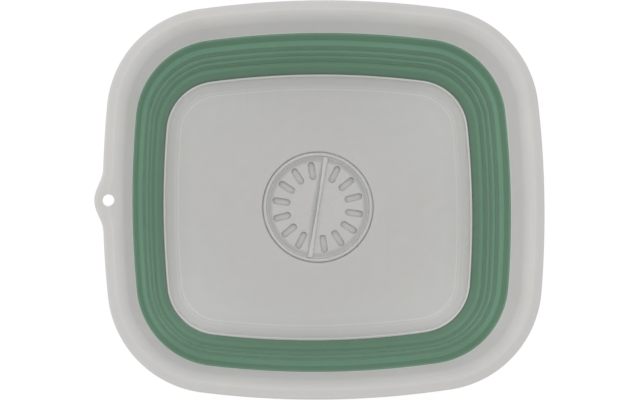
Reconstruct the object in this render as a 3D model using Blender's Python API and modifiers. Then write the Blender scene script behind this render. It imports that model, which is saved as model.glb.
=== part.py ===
"""A collapsible wash basin: a stiff rim, a folding rubber wall, a stiff base and a lift-out drain strainer.

The basin stands open. Each ring of its wall is a bowed rectangle with round corners, set in from the
rim's outer edge by an inset and placed at a height. The wall folds at three webs: each web turns inside
out, so that the rings below and above it nest around the base.
"""

import math

import bmesh
import bpy
import numpy as np

# Rim frame, of polypropylene
RIM_HALF_LENGTH = 0.1903
RIM_HALF_WIDTH = 0.1722
RIM_CORNER = 0.0926
END_BOW = 0.85
SIDE_BOW = 0.78
RIM_DEPTH = 0.042
RIM_WALL = 0.0022
RIM_WALL_RUN = 0.0053
SKIRT_DROP = 0.009
LIP_WIDTH = 0.0083
LIP_CROWN = 0.0006
LIP_UNDER_RADIUS = 0.0008
SHOULDER_RUN = 0.0083
SHOULDER_DROP = 0.013
SHOULDER_CORNER = 0.0036
RIM_UPRIGHT_FOOT = 0.009

# Ear with the hanging hole, at the -X end of the rim
EAR_REACH = 0.0073
EAR_HALF_WIDTH = 0.027
EAR_HOLE_SETBACK = 0.0122
EAR_HOLE_RADIUS = 0.005

# Folding wall, of thermoplastic rubber, from the rim down
LAP_WALL = 0.0018
RIM_LAP_HEIGHT = 0.008
RIM_LAP_SHELF = 0.0012
WEB_WALL = 0.001
BAND_WALL = 0.0016
BAND_HEIGHT = 0.0135
BAND_RUN = 0.0013
UPPER_WEB_HEIGHT = 0.0165
UPPER_WEB_RUN = 0.007
MIDDLE_WEB_HEIGHT = 0.0155
MIDDLE_WEB_RUN = 0.005
LOWER_WEB_HEIGHT = 0.017
LOWER_WEB_RUN = 0.007
BASE_LAP_HEIGHT = 0.0065
FIT_GAP = 0.0003

# Base pan, of polypropylene
BASE_EDGE_HEIGHT = 0.022
PAN_WALL = 0.002
PAN_EDGE_DEPTH = 0.0035
PAN_EDGE_RUN = 0.0003
COVE_RUN = 0.0085
COVE_DROP = 0.006
FLOOR_STEP = 0.0006
FLOOR_STEP_RUN = 0.0006
FLOOR_GROOVE = 0.0008

# Drain seat, sump and outlet in the pan
SEAT_RADIUS = 0.0531
SEAT_DEPTH = 0.0029
SEAT_LEDGE = 0.0034
SUMP_DEPTH = 0.0056
SUMP_WALL_RUN = 0.0022
SUMP_ROUNDING = 0.0009
OUTLET_RADIUS = 0.0125
OUTLET_FLARE = 0.0013
OUTLET_DROP = 0.0026

# Strainer that lies in the seat, with its grip bar and slots
STRAINER_CLEARANCE = 0.0009
STRAINER_PROUD = 0.0006
STRAINER_WALL = 0.0016
RING_WIDTH = 0.0034
RING_ROUNDING = 0.0009
RING_WALL_RUN = 0.0046
RING_WALL_DROP = 0.0035
DISH_SAG = 0.0012
GRIP_HALF_WIDTH = 0.0021
GRIP_WAIST = 0.0013
GRIP_SET_DOWN = 0.0003
GRIP_TILT = math.radians(-9.5)
SLOTS_PER_SIDE = 7
SLOT_CLEAR_OF_GRIP = math.radians(18)
SLOT_HALF_WIDTH = 0.0031
SLOT_LENGTH = 0.0171
SLOT_CLEAR_OF_EDGE = 0.0005

# Stopper under the strainer
STOPPER_NECK = 0.006
STOPPER_FLANGE_LAP = 0.005
STOPPER_FLANGE = 0.0012
STOPPER_PLUG_CLEARANCE = 0.001
STOPPER_PLUG_DROP = 0.0018

# Feet: a hollow boss under each corner of the floor, with a rubber pad pressed in
FOOT_END_INSET = 0.0428
FOOT_SIDE_INSET = 0.0417
BOSS_RADIUS = 0.011
BOSS_WALL = 0.0025
BOSS_HEIGHT = 0.0017
PAD_SET_IN = 0.0004
PAD_ROUNDING = 0.0006
PAD_STEM = 0.0038
RIB_THICKNESS = 0.0018
RIB_DEPTH = 0.0045

CUT_OVERRUN = 0.004
MERGE_DISTANCE = 0.00001

# How much faster the folding wall narrows across the width, and the corner radius follows the inset
WEB_WIDTH_SHARE = 1.14
CORNER_SHARE = 0.96

# Web sections from the upper end to the lower: share of the run inwards, share of the height
UPPER_WEB_SHARES = ((0.0, 1.0), (0.12, 0.55), (0.26, 0.14), (0.42, 0.0), (1.0, 0.0))
MIDDLE_WEB_SHARES = ((0.0, 1.0), (0.46, 1.0), (0.58, 0.8), (0.68, 0.2), (0.78, 0.0), (1.0, 0.0))
LOWER_WEB_SHARES = ((0.0, 1.0), (0.62, 0.97), (0.72, 0.86), (0.86, 0.22), (1.0, 0.08), (1.0, 0.0))

# Segments of each quarter of a ring: along half an end, around a corner, along half a side
END_STEPS = 2
CORNER_STEPS = 7
SIDE_STEPS = 2
EAR_STEPS = 6
ARC_STEPS = 3
SHOULDER_STEPS = 5
COVE_STEPS = 4
ROUND_STEPS = 48
SMALL_ROUND_STEPS = 20
SMOOTH_ANGLE = math.radians(35)

LIP_OUTER_RADIUS = LIP_UNDER_RADIUS + RIM_WALL

# Insets of the wall's rings from the rim's outer edge, from the rim inwards
SHOULDER_INSET = LIP_WIDTH + SHOULDER_RUN
FOOT_INSET = SHOULDER_INSET + RIM_WALL_RUN
UPPER_BAND_INSET = FOOT_INSET + UPPER_WEB_RUN
UPPER_BAND_FOOT_INSET = UPPER_BAND_INSET + BAND_RUN
LOWER_BAND_INSET = UPPER_BAND_FOOT_INSET + MIDDLE_WEB_RUN
LOWER_BAND_FOOT_INSET = LOWER_BAND_INSET + BAND_RUN
BASE_EDGE_INSET = LOWER_BAND_FOOT_INSET + LOWER_WEB_RUN

# Heights above the standing surface, from the base up
LOWER_BAND_FOOT = BASE_EDGE_HEIGHT + LOWER_WEB_HEIGHT
LOWER_BAND_TOP = LOWER_BAND_FOOT + BAND_HEIGHT
UPPER_BAND_FOOT = LOWER_BAND_TOP + MIDDLE_WEB_HEIGHT
UPPER_BAND_TOP = UPPER_BAND_FOOT + BAND_HEIGHT
RIM_FOOT = UPPER_BAND_TOP + UPPER_WEB_HEIGHT
RIM_TOP = RIM_FOOT + RIM_DEPTH

# Levels of the pan and of what lies in it
GROOVE_HEIGHT = BASE_EDGE_HEIGHT - PAN_EDGE_DEPTH - COVE_DROP
FLOOR_HEIGHT = GROOVE_HEIGHT + FLOOR_STEP
LEDGE_HEIGHT = FLOOR_HEIGHT - SEAT_DEPTH
LEDGE_INNER_RADIUS = SEAT_RADIUS - SEAT_LEDGE
SUMP_HEIGHT = LEDGE_HEIGHT - SUMP_DEPTH
STRAINER_RADIUS = SEAT_RADIUS - STRAINER_CLEARANCE
STRAINER_TOP = FLOOR_HEIGHT + STRAINER_PROUD
DISH_RADIUS = STRAINER_RADIUS - RING_WIDTH - RING_WALL_RUN
DISH_EDGE_HEIGHT = STRAINER_TOP - RING_WALL_DROP
DISH_CENTRE_HEIGHT = DISH_EDGE_HEIGHT - DISH_SAG

GREY_PLASTIC = ("grey_polypropylene", (0.53, 0.525, 0.505), 0.42)
GREEN_RUBBER = ("green_rubber", (0.117, 0.209, 0.147), 0.55)
GREY_RUBBER = ("grey_rubber", (0.36, 0.355, 0.34), 0.7)


def clear_scene():
    for obj in list(bpy.data.objects):
        bpy.data.objects.remove(obj)


def new_collection(name):
    collection = bpy.data.collections.new(name)
    bpy.context.scene.collection.children.link(collection)
    return collection


def new_material(name, colour, roughness):
    material = bpy.data.materials.new(name)
    material.use_nodes = True
    shader = material.node_tree.nodes["Principled BSDF"]
    shader.inputs["Base Color"].default_value = (*colour, 1)
    shader.inputs["Roughness"].default_value = roughness
    shader.inputs["Metallic"].default_value = 0
    return material


def place(mesh, name, finish, parent):
    """Puts a mesh in the basin as a smooth-shaded part with a material of its own."""
    mesh.shade_smooth()
    mesh.set_sharp_from_angle(angle=SMOOTH_ANGLE)
    obj = bpy.data.objects.new(name, mesh)
    slot, colour, roughness = finish
    mesh.materials.append(new_material(f"{slot}_{name}", colour, roughness))
    BASIN.objects.link(obj)
    obj.parent = parent
    return obj


def make_cutter(mesh, name, parent):
    cutter = bpy.data.objects.new(name, mesh)
    CUTTERS.objects.link(cutter)
    cutter.parent = parent
    cutter.hide_render = True
    cutter.display_type = "WIRE"
    return cutter


def combine(obj, operation, tool):
    boolean = obj.modifiers.new(f"{operation.lower()}_{tool.name}", "BOOLEAN")
    boolean.operation = operation
    boolean.solver = "EXACT"
    boolean.object = tool


def across(inset):
    """The inset across the width. It differs from the one along the length only in the folding wall."""
    in_wall = min(max(inset - FOOT_INSET, 0), BASE_EDGE_INSET - FOOT_INSET)
    return inset + (WEB_WIDTH_SHARE - 1) * in_wall


def quarter(half_length, half_width, corner, with_ear):
    """Points from the +X axis to the +Y axis: half an end's arc, the corner's arc, half a side's arc."""
    end_centre = np.array((half_length - END_BOW, 0))
    side_centre = np.array((0, half_width - SIDE_BOW))
    end_reach = END_BOW - corner
    side_reach = SIDE_BOW - corner
    apart = np.linalg.norm(side_centre - end_centre)
    along = (end_reach**2 - side_reach**2 + apart**2) / (2 * apart)
    towards_side = (side_centre - end_centre) / apart
    square_to_it = np.array((-towards_side[1], towards_side[0]))
    beside = math.sqrt(end_reach**2 - along**2)
    corner_centre = end_centre + along * towards_side + beside * square_to_it
    end_stop = math.atan2(*(corner_centre - end_centre)[::-1])
    side_start = math.atan2(*(corner_centre - side_centre)[::-1])

    end_angles = np.linspace(0, end_stop, END_STEPS + 1)
    if with_ear:
        ear_angles = np.linspace(0, math.asin(EAR_HALF_WIDTH / END_BOW), EAR_STEPS + 1)
        end_angles = np.concatenate((ear_angles, end_angles[1:]))
    corner_angles = np.linspace(end_stop, side_start, CORNER_STEPS + 1)[1:]
    side_angles = np.linspace(side_start, math.pi / 2, SIDE_STEPS + 1)[1:]
    arcs = (
        (end_centre, END_BOW, end_angles),
        (corner_centre, corner, corner_angles),
        (side_centre, SIDE_BOW, side_angles),
    )
    return np.concatenate(
        [c + r * np.column_stack((np.cos(a), np.sin(a))) for c, r, a in arcs]
    )


def wall_ring(inset, height, ear_share=None):
    """One ring of the wall, counter-clockwise from +X. With an ear_share it has closer points at the ear,
    which are pushed out by that share of the ear's reach."""
    half_length = RIM_HALF_LENGTH - inset
    half_width = RIM_HALF_WIDTH - across(inset)
    corner = RIM_CORNER - CORNER_SHARE * (inset + across(inset)) / 2
    plain = quarter(half_length, half_width, corner, False)
    far = quarter(half_length, half_width, corner, ear_share is not None)
    ring = np.concatenate(
        (
            plain[:-1],
            far[:0:-1] * (-1, 1),
            far[:-1] * (-1, -1),
            plain[:0:-1] * (1, -1),
        )
    )
    if ear_share:
        near = np.clip(ring[:, 1] / EAR_HALF_WIDTH, -1, 1)
        bump = (1 + np.cos(math.pi * near)) / 2 * (ring[:, 0] < 0)
        ring[:, 0] -= ear_share * EAR_REACH * bump
    return np.column_stack((ring, np.full(len(ring), height)))


def round_ring(radius, height, count):
    angles = np.arange(count) * 2 * math.pi / count
    return np.column_stack(
        (radius * np.cos(angles), radius * np.sin(angles), np.full(count, height))
    )


def loft(rings, name):
    """An open surface through rings of as many points each, from outside to inside, facing up and inwards."""
    count = len(rings[0])
    steps = range(count)
    faces = [
        (i * count + j, i * count + (j + 1) % count, (i + 1) * count + (j + 1) % count, (i + 1) * count + j)
        for i in range(len(rings) - 1)
        for j in steps
    ]
    mesh = bpy.data.meshes.new(name)
    mesh.from_pydata(np.concatenate(rings).tolist(), [], faces)
    return mesh


def add_shell(rings, wall, name, finish, parent):
    """A lofted surface given its wall on the side that faces away from the basin's inside."""
    obj = place(loft(rings, name), name, finish, parent)
    solidify = obj.modifiers.new("wall", "SOLIDIFY")
    solidify.thickness = wall
    solidify.offset = -1
    solidify.use_even_offset = True
    solidify.use_quality_normals = True
    return obj


def arc(centre, semi_axes, start, stop, steps):
    """Points of a section along an ellipse's arc, as (inset, height). Angles are in degrees."""
    angles = np.radians(np.linspace(start, stop, steps + 1))
    return [
        (centre[0] + semi_axes[0] * math.cos(a), centre[1] + semi_axes[1] * math.sin(a))
        for a in angles
    ]


def soft_bend(start, corner, end, steps):
    """Points of a section along the parabola from start to end whose end lines meet at the corner."""
    along = np.linspace(0, 1, steps + 1)[:, None]
    start, corner, end = np.array(start), np.array(corner), np.array(end)
    curve = (1 - along) ** 2 * start + 2 * along * (1 - along) * corner + along**2 * end
    return [tuple(point) for point in curve]


def turn(obj, steps):
    screw = obj.modifiers.new("turn", "SCREW")
    screw.steps = steps
    screw.render_steps = steps
    screw.use_merge_vertices = True
    screw.merge_threshold = MERGE_DISTANCE


def profile_mesh(profile, name):
    """A line of points (radius, height) from the axis out and back to it, top to bottom."""
    mesh = bpy.data.meshes.new(name)
    points = [(radius, 0, height) for radius, height in profile]
    mesh.from_pydata(points, [(i, i + 1) for i in range(len(points) - 1)], [])
    return mesh


def add_turned(profile, name, finish, parent, steps):
    obj = place(profile_mesh(profile, name), name, finish, parent)
    turn(obj, steps)
    return obj


def cylinder_mesh(radius, low, high, name, x=0, y=0):
    mesh = bpy.data.meshes.new(name)
    shape = bmesh.new()
    bmesh.ops.create_cone(
        shape,
        cap_ends=True,
        segments=SMALL_ROUND_STEPS,
        radius1=radius,
        radius2=radius,
        depth=high - low,
    )
    bmesh.ops.translate(shape, verts=shape.verts, vec=(x, y, (low + high) / 2))
    shape.to_mesh(mesh)
    shape.free()
    return mesh


def prism_mesh(outline, low, high, name):
    """A flat outline drawn as a filled curve and extruded between two heights."""
    curve = bpy.data.curves.new(name, "CURVE")
    curve.dimensions = "2D"
    curve.fill_mode = "BOTH"
    curve.extrude = (high - low) / 2
    spline = curve.splines.new("POLY")
    spline.points.add(len(outline) - 1)
    for point, (x, y) in zip(spline.points, outline):
        point.co = (x, y, 0, 1)
    spline.use_cyclic_u = True
    drawn = bpy.data.objects.new(name, curve)
    bpy.context.scene.collection.objects.link(drawn)
    graph = bpy.context.evaluated_depsgraph_get()
    mesh = bpy.data.meshes.new_from_object(drawn.evaluated_get(graph))
    bpy.data.objects.remove(drawn)
    shape = bmesh.new()
    shape.from_mesh(mesh)
    bmesh.ops.remove_doubles(shape, verts=shape.verts, dist=MERGE_DISTANCE)
    bmesh.ops.translate(shape, verts=shape.verts, vec=(0, 0, (low + high) / 2))
    bmesh.ops.recalc_face_normals(shape, faces=shape.faces)
    shape.to_mesh(mesh)
    shape.free()
    return mesh


def make_rim(centre):
    """Skirt, domed lip, soft shoulder and inner wall in one moulding, stretched outwards at the ear."""
    lip_edge = RIM_TOP - LIP_CROWN
    section = [(0, RIM_TOP - SKIRT_DROP)]
    section += arc(
        (LIP_OUTER_RADIUS, lip_edge - LIP_OUTER_RADIUS),
        (LIP_OUTER_RADIUS, LIP_OUTER_RADIUS),
        180,
        90,
        ARC_STEPS,
    )
    section += [((LIP_OUTER_RADIUS + LIP_WIDTH) / 2, RIM_TOP)]
    section += soft_bend(
        (LIP_WIDTH, lip_edge),
        (LIP_WIDTH + SHOULDER_CORNER, lip_edge),
        (SHOULDER_INSET, lip_edge - SHOULDER_DROP),
        SHOULDER_STEPS,
    )
    section += [(FOOT_INSET, RIM_FOOT + RIM_UPRIGHT_FOOT), (FOOT_INSET, RIM_FOOT)]
    rings = [wall_ring(i, z, max(1 - i / SHOULDER_INSET, 0)) for i, z in section]
    rim = add_shell(rings, RIM_WALL, "rim_frame", GREY_PLASTIC, centre)
    hole_x = EAR_HOLE_SETBACK - RIM_HALF_LENGTH - EAR_REACH
    low = RIM_TOP - RIM_WALL - CUT_OVERRUN
    high = RIM_TOP + CUT_OVERRUN
    drill = cylinder_mesh(EAR_HOLE_RADIUS, low, high, "hanging_hole_cutter", hole_x)
    combine(rim, "DIFFERENCE", make_cutter(drill, "hanging_hole_cutter", centre))


def make_laps(centre):
    """The rubber's two bonded edges: one hooks under the rim's foot, one lies around the base's edge."""
    outside = FOOT_INSET - RIM_WALL - FIT_GAP
    under = RIM_FOOT - FIT_GAP
    section = (
        (outside, RIM_FOOT + RIM_LAP_HEIGHT),
        (outside, under),
        (FOOT_INSET + RIM_LAP_SHELF, under),
    )
    rings = [wall_ring(i, z, 0) for i, z in section]
    add_shell(rings, LAP_WALL, "rim_lap", GREEN_RUBBER, centre)

    beside = BASE_EDGE_INSET - FIT_GAP
    section = (
        (beside, BASE_EDGE_HEIGHT),
        (beside, BASE_EDGE_HEIGHT - BASE_LAP_HEIGHT),
    )
    rings = [wall_ring(i, z) for i, z in section]
    add_shell(rings, LAP_WALL, "base_lap", GREEN_RUBBER, centre)


def make_bands(centre):
    """The two stiff rings between the webs, a little bowed in section."""
    levels = (
        ("upper_band", UPPER_BAND_INSET, UPPER_BAND_TOP),
        ("lower_band", LOWER_BAND_INSET, LOWER_BAND_TOP),
    )
    for name, inset, top in levels:
        section = (
            (inset, top),
            (inset + BAND_RUN / 3, top - BAND_HEIGHT / 2),
            (inset + BAND_RUN, top - BAND_HEIGHT),
        )
        rings = [wall_ring(i, z) for i, z in section]
        add_shell(rings, BAND_WALL, name, GREEN_RUBBER, centre)


def make_webs(centre):
    """The three thin fold webs. Each hangs under the ring above it and lies on top of the one below."""
    on_top = FIT_GAP + WEB_WALL
    webs = (
        (
            "upper_web",
            UPPER_WEB_SHARES,
            FOOT_INSET + RIM_LAP_SHELF,
            UPPER_BAND_INSET,
            RIM_FOOT - LAP_WALL - 2 * FIT_GAP,
            UPPER_BAND_TOP + on_top,
        ),
        (
            "middle_web",
            MIDDLE_WEB_SHARES,
            UPPER_BAND_FOOT_INSET - BAND_WALL,
            LOWER_BAND_INSET,
            UPPER_BAND_FOOT - FIT_GAP,
            LOWER_BAND_TOP + on_top,
        ),
        (
            "lower_web",
            LOWER_WEB_SHARES,
            LOWER_BAND_FOOT_INSET - BAND_WALL,
            BASE_EDGE_INSET - FIT_GAP - LAP_WALL + WEB_WALL,
            LOWER_BAND_FOOT - FIT_GAP,
            BASE_EDGE_HEIGHT + FIT_GAP,
        ),
    )
    for name, shares, outer, inner, high, low in webs:
        rings = [wall_ring(outer + s * (inner - outer), low + h * (high - low)) for s, h in shares]
        add_shell(rings, WEB_WALL, name, GREEN_RUBBER, centre)


def pan_rings():
    """The pan's upper surface: edge, cove, raised floor, round seat, sump and outlet."""
    edge = BASE_EDGE_INSET + PAN_WALL
    cove_top = BASE_EDGE_HEIGHT - PAN_EDGE_DEPTH
    cove_start = edge + PAN_EDGE_RUN
    groove = cove_start + COVE_RUN
    section = [(edge, BASE_EDGE_HEIGHT)]
    section += arc((groove, cove_top), (COVE_RUN, COVE_DROP), 180, 270, COVE_STEPS)
    section += [(groove + FLOOR_GROOVE, GROOVE_HEIGHT)]
    section += [(groove + FLOOR_GROOVE + FLOOR_STEP_RUN, FLOOR_HEIGHT)]
    rings = [wall_ring(i, z) for i, z in section]
    sump_radius = LEDGE_INNER_RADIUS - SUMP_WALL_RUN
    turned = (
        (SEAT_RADIUS, FLOOR_HEIGHT),
        (SEAT_RADIUS, LEDGE_HEIGHT),
        (LEDGE_INNER_RADIUS, LEDGE_HEIGHT),
        (sump_radius, SUMP_HEIGHT + SUMP_ROUNDING),
        (sump_radius - SUMP_ROUNDING, SUMP_HEIGHT),
        (OUTLET_RADIUS + OUTLET_FLARE, SUMP_HEIGHT),
        (OUTLET_RADIUS, SUMP_HEIGHT - OUTLET_FLARE),
        (OUTLET_RADIUS, SUMP_HEIGHT - OUTLET_DROP),
    )
    return rings + [round_ring(r, z, len(rings[0])) for r, z in turned]


def make_pan(centre):
    pan = add_shell(pan_rings(), PAN_WALL, "base_pan", GREY_PLASTIC, centre)
    into_floor = FLOOR_HEIGHT - PAN_WALL / 2
    rib_low = FLOOR_HEIGHT - PAN_WALL - RIB_DEPTH
    start = SEAT_RADIUS + PAN_WALL / 2
    bores = []
    for number, (x, y) in enumerate(foot_places(), 1):
        reach = math.hypot(x, y)
        outward = np.array((x, y)) / reach
        beside = np.array((-outward[1], outward[0])) * RIB_THICKNESS / 2
        near, far = outward * start, outward * (reach - BOSS_RADIUS + BOSS_WALL / 2)
        outline = (near - beside, far - beside, far + beside, near + beside)
        rib = prism_mesh(outline, rib_low, into_floor, f"rib_{number}")
        combine(pan, "UNION", make_cutter(rib, f"rib_{number}", centre))
        boss = cylinder_mesh(BOSS_RADIUS, BOSS_HEIGHT, into_floor, f"boss_{number}", x, y)
        combine(pan, "UNION", make_cutter(boss, f"boss_{number}", centre))
        bore_top = FLOOR_HEIGHT - PAN_WALL
        bore_radius = BOSS_RADIUS - BOSS_WALL
        bore = cylinder_mesh(
            bore_radius, BOSS_HEIGHT - CUT_OVERRUN, bore_top, f"boss_bore_{number}", x, y
        )
        bores.append(make_cutter(bore, f"boss_bore_{number}", centre))
    for bore in bores:
        combine(pan, "DIFFERENCE", bore)


def foot_places():
    """The four corners of the floor, set in from the base's ends and sides."""
    x = RIM_HALF_LENGTH - BASE_EDGE_INSET - FOOT_END_INSET
    y = RIM_HALF_WIDTH - across(BASE_EDGE_INSET) - FOOT_SIDE_INSET
    return [(end * x, side * y) for end in (-1, 1) for side in (-1, 1)]


def make_feet(centre):
    stem = BOSS_RADIUS - BOSS_WALL - FIT_GAP
    flange_top = BOSS_HEIGHT - FIT_GAP
    flange = BOSS_RADIUS - PAD_SET_IN
    profile = (
        (0, flange_top + PAD_STEM),
        (stem, flange_top + PAD_STEM),
        (stem, flange_top),
        (flange, flange_top),
        (flange, PAD_ROUNDING),
        (flange - PAD_ROUNDING, 0),
        (0, 0),
    )
    for number, (x, y) in enumerate(foot_places(), 1):
        pad = add_turned(profile, f"foot_pad_{number}", GREY_RUBBER, centre, SMALL_ROUND_STEPS)
        pad.location = (x, y, 0)


def strainer_profile():
    """Dish, inner wall, round ring and underside, from the axis out and back."""
    ring_inner = STRAINER_RADIUS - RING_WIDTH
    ring_foot = LEDGE_HEIGHT + FIT_GAP
    return (
        (0, DISH_CENTRE_HEIGHT),
        (DISH_RADIUS * 2 / 3, DISH_EDGE_HEIGHT - DISH_SAG / 2),
        (DISH_RADIUS, DISH_EDGE_HEIGHT),
        (ring_inner, STRAINER_TOP - RING_ROUNDING),
        (ring_inner + RING_ROUNDING, STRAINER_TOP),
        (STRAINER_RADIUS - RING_ROUNDING, STRAINER_TOP),
        (STRAINER_RADIUS, STRAINER_TOP - RING_ROUNDING),
        (STRAINER_RADIUS, ring_foot),
        (LEDGE_INNER_RADIUS - STRAINER_CLEARANCE, ring_foot),
        (DISH_RADIUS + STRAINER_WALL, DISH_EDGE_HEIGHT - STRAINER_WALL),
        (DISH_RADIUS * 2 / 3, DISH_EDGE_HEIGHT - DISH_SAG / 2 - STRAINER_WALL),
        (0, DISH_CENTRE_HEIGHT - STRAINER_WALL),
    )


def turn_by(angle):
    """The matrix that turns rows of flat points counter-clockwise."""
    return np.array(
        ((math.cos(angle), math.sin(angle)), (-math.sin(angle), math.cos(angle)))
    )


def slot_mesh(angle, name):
    """A slot with round ends, lying along a radius of the dish."""
    outer = DISH_RADIUS - SLOT_CLEAR_OF_EDGE - SLOT_HALF_WIDTH
    inner = outer - SLOT_LENGTH + 2 * SLOT_HALF_WIDTH
    ends = arc((outer, 0), (SLOT_HALF_WIDTH, SLOT_HALF_WIDTH), -90, 90, ARC_STEPS + 1)
    ends += arc((inner, 0), (SLOT_HALF_WIDTH, SLOT_HALF_WIDTH), 90, 270, ARC_STEPS + 1)
    low = DISH_CENTRE_HEIGHT - STRAINER_WALL - CUT_OVERRUN
    return prism_mesh(np.array(ends) @ turn_by(angle), low, STRAINER_TOP + CUT_OVERRUN, name)


def grip_mesh(direction):
    """The grip bar before it is trimmed: an upright wall, a little narrower at its middle."""
    reach = STRAINER_RADIUS - RING_WIDTH / 2
    half = (
        (-reach, GRIP_HALF_WIDTH),
        (-DISH_RADIUS / 2, (GRIP_HALF_WIDTH + GRIP_WAIST) / 2),
        (0, GRIP_WAIST),
        (DISH_RADIUS / 2, (GRIP_HALF_WIDTH + GRIP_WAIST) / 2),
        (reach, GRIP_HALF_WIDTH),
    )
    outline = [(x, -y) for x, y in half] + [(x, y) for x, y in half[::-1]]
    low = DISH_CENTRE_HEIGHT - STRAINER_WALL
    high = STRAINER_TOP + CUT_OVERRUN
    return prism_mesh(np.array(outline) @ turn_by(direction), low, high, "grip_bar")


def make_grip(direction, centre):
    """The bar trimmed to reach from the middle of the dish's wall up to just under the ring's crest."""
    inside_ring = STRAINER_RADIUS - RING_WIDTH / 2
    crest = STRAINER_TOP - GRIP_SET_DOWN
    half_wall = STRAINER_WALL / 2
    profile = (
        (0, crest),
        (inside_ring, crest),
        (inside_ring, LEDGE_HEIGHT + FIT_GAP + half_wall),
        (DISH_RADIUS, DISH_EDGE_HEIGHT - half_wall),
        (DISH_RADIUS * 2 / 3, DISH_EDGE_HEIGHT - DISH_SAG / 2 - half_wall),
        (0, DISH_CENTRE_HEIGHT - half_wall),
    )
    trim = make_cutter(profile_mesh(profile, "grip_trim"), "grip_trim", centre)
    turn(trim, ROUND_STEPS)
    grip = make_cutter(grip_mesh(direction), "grip_bar", centre)
    combine(grip, "INTERSECT", trim)
    return grip


def make_strainer(centre):
    """A dish with slots in two fans beside the grip bar. Its ring lies on the seat's ledge."""
    strainer = add_turned(
        strainer_profile(), "drain_strainer", GREY_PLASTIC, centre, ROUND_STEPS
    )
    grip_direction = math.pi / 2 + GRIP_TILT
    pitch = (math.pi - 2 * SLOT_CLEAR_OF_GRIP) / (SLOTS_PER_SIDE - 1)
    for number in range(2 * SLOTS_PER_SIDE):
        side, place_in_fan = divmod(number, SLOTS_PER_SIDE)
        angle = grip_direction + side * math.pi + SLOT_CLEAR_OF_GRIP + place_in_fan * pitch
        name = f"slot_cutter_{number + 1}"
        combine(strainer, "DIFFERENCE", make_cutter(slot_mesh(angle, name), name, centre))
    combine(strainer, "UNION", make_grip(grip_direction, centre))


def make_stopper(centre):
    """A rubber plug under the dish. Its flange lies on the sump's floor around the outlet."""
    top = DISH_CENTRE_HEIGHT - STRAINER_WALL - FIT_GAP
    seat = SUMP_HEIGHT + FIT_GAP
    flange = OUTLET_RADIUS + STOPPER_FLANGE_LAP
    plug = OUTLET_RADIUS - STOPPER_PLUG_CLEARANCE
    profile = (
        (0, top),
        (STOPPER_NECK, top),
        (STOPPER_NECK, seat + STOPPER_FLANGE),
        (flange, seat + STOPPER_FLANGE),
        (flange, seat),
        (plug, seat),
        (plug, SUMP_HEIGHT - STOPPER_PLUG_DROP),
        (0, SUMP_HEIGHT - STOPPER_PLUG_DROP),
    )
    add_turned(profile, "drain_stopper", GREY_RUBBER, centre, SMALL_ROUND_STEPS)


def main():
    centre = bpy.data.objects.new("basin_centre", None)
    BASIN.objects.link(centre)
    centre.location = (EAR_REACH / 2, 0, 0)
    make_rim(centre)
    make_laps(centre)
    make_bands(centre)
    make_webs(centre)
    make_pan(centre)
    make_feet(centre)
    make_strainer(centre)
    make_stopper(centre)


clear_scene()
BASIN = new_collection("collapsible_wash_basin")
CUTTERS = new_collection("cutters")
main()
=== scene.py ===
"""The looks of a collapsible wash basin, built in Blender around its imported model.

A stiff grey rim and a stiff grey base hold a folding green rubber wall between them. A grey strainer with
a grip bar lies in the drain seat, over a rubber stopper. Every ring of the basin is the same bowed
rectangle with round corners, set in from the rim's outer edge by an inset.
"""

import math

import bmesh
import bpy
import numpy as np
from mathutils import Matrix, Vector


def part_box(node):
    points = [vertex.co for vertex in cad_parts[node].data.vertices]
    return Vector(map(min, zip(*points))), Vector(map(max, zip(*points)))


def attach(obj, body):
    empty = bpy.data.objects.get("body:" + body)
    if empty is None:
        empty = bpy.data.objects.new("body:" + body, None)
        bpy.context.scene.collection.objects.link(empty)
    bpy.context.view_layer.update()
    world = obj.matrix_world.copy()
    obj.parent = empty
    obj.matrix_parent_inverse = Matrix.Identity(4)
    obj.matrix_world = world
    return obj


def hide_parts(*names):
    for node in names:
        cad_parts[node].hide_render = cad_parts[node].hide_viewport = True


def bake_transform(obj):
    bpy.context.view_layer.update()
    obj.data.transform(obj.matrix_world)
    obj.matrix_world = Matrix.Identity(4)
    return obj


bl_info = {
    "name": "Collapsible Wash Basin",
    "version": (1, 0, 0),
    "blender": (4, 5, 0),
    "location": "View3D > Sidebar > Basin",
    "description": "Builds the rim, folding wall, base, drain and feet of a wash basin, and its stage",
    "category": "Add Mesh",
}

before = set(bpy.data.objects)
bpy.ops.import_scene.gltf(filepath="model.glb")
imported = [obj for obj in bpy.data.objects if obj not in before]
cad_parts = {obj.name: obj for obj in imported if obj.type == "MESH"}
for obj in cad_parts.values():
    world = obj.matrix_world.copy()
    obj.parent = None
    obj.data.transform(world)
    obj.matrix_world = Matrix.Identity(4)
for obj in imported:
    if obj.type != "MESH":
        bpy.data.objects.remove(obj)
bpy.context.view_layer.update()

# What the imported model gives: the basin's axis and the levels of its rings
STRAINER_LOW, STRAINER_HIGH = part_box("drain_strainer")
RIM_LOW, RIM_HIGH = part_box("rim_frame")
AXIS_X = (STRAINER_LOW.x + STRAINER_HIGH.x) / 2
STRAINER_TOP = STRAINER_HIGH.z
RIM_TOP = RIM_HIGH.z
RIM_FOOT = RIM_LOW.z
UPPER_FOOT, UPPER_TOP = (corner.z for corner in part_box("upper_band"))
LOWER_FOOT, LOWER_TOP = (corner.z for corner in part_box("lower_band"))
BASE_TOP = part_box("base_pan")[1].z
BASE_LAP_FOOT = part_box("base_lap")[0].z

# Points along each quarter of a ring: half an end, a corner, half a side
RING_STEPS = (14, 26, 12)
RIM_RING_STEPS = (44, 34, 14)
# Bearings of the points of large and of small round pieces
ROUND = np.arange(160) * 2 * math.pi / 160
SMALL_ROUND = np.arange(64) * 2 * math.pi / 64
# How far apart the points of the rim's and of the rubber's sections lie at most
RIM_LINE_STEP = 0.0016
WALL_LINE_STEP = 0.0005
SMOOTH_ANGLE = math.radians(32)
WELD_DISTANCE = 0.000002

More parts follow.
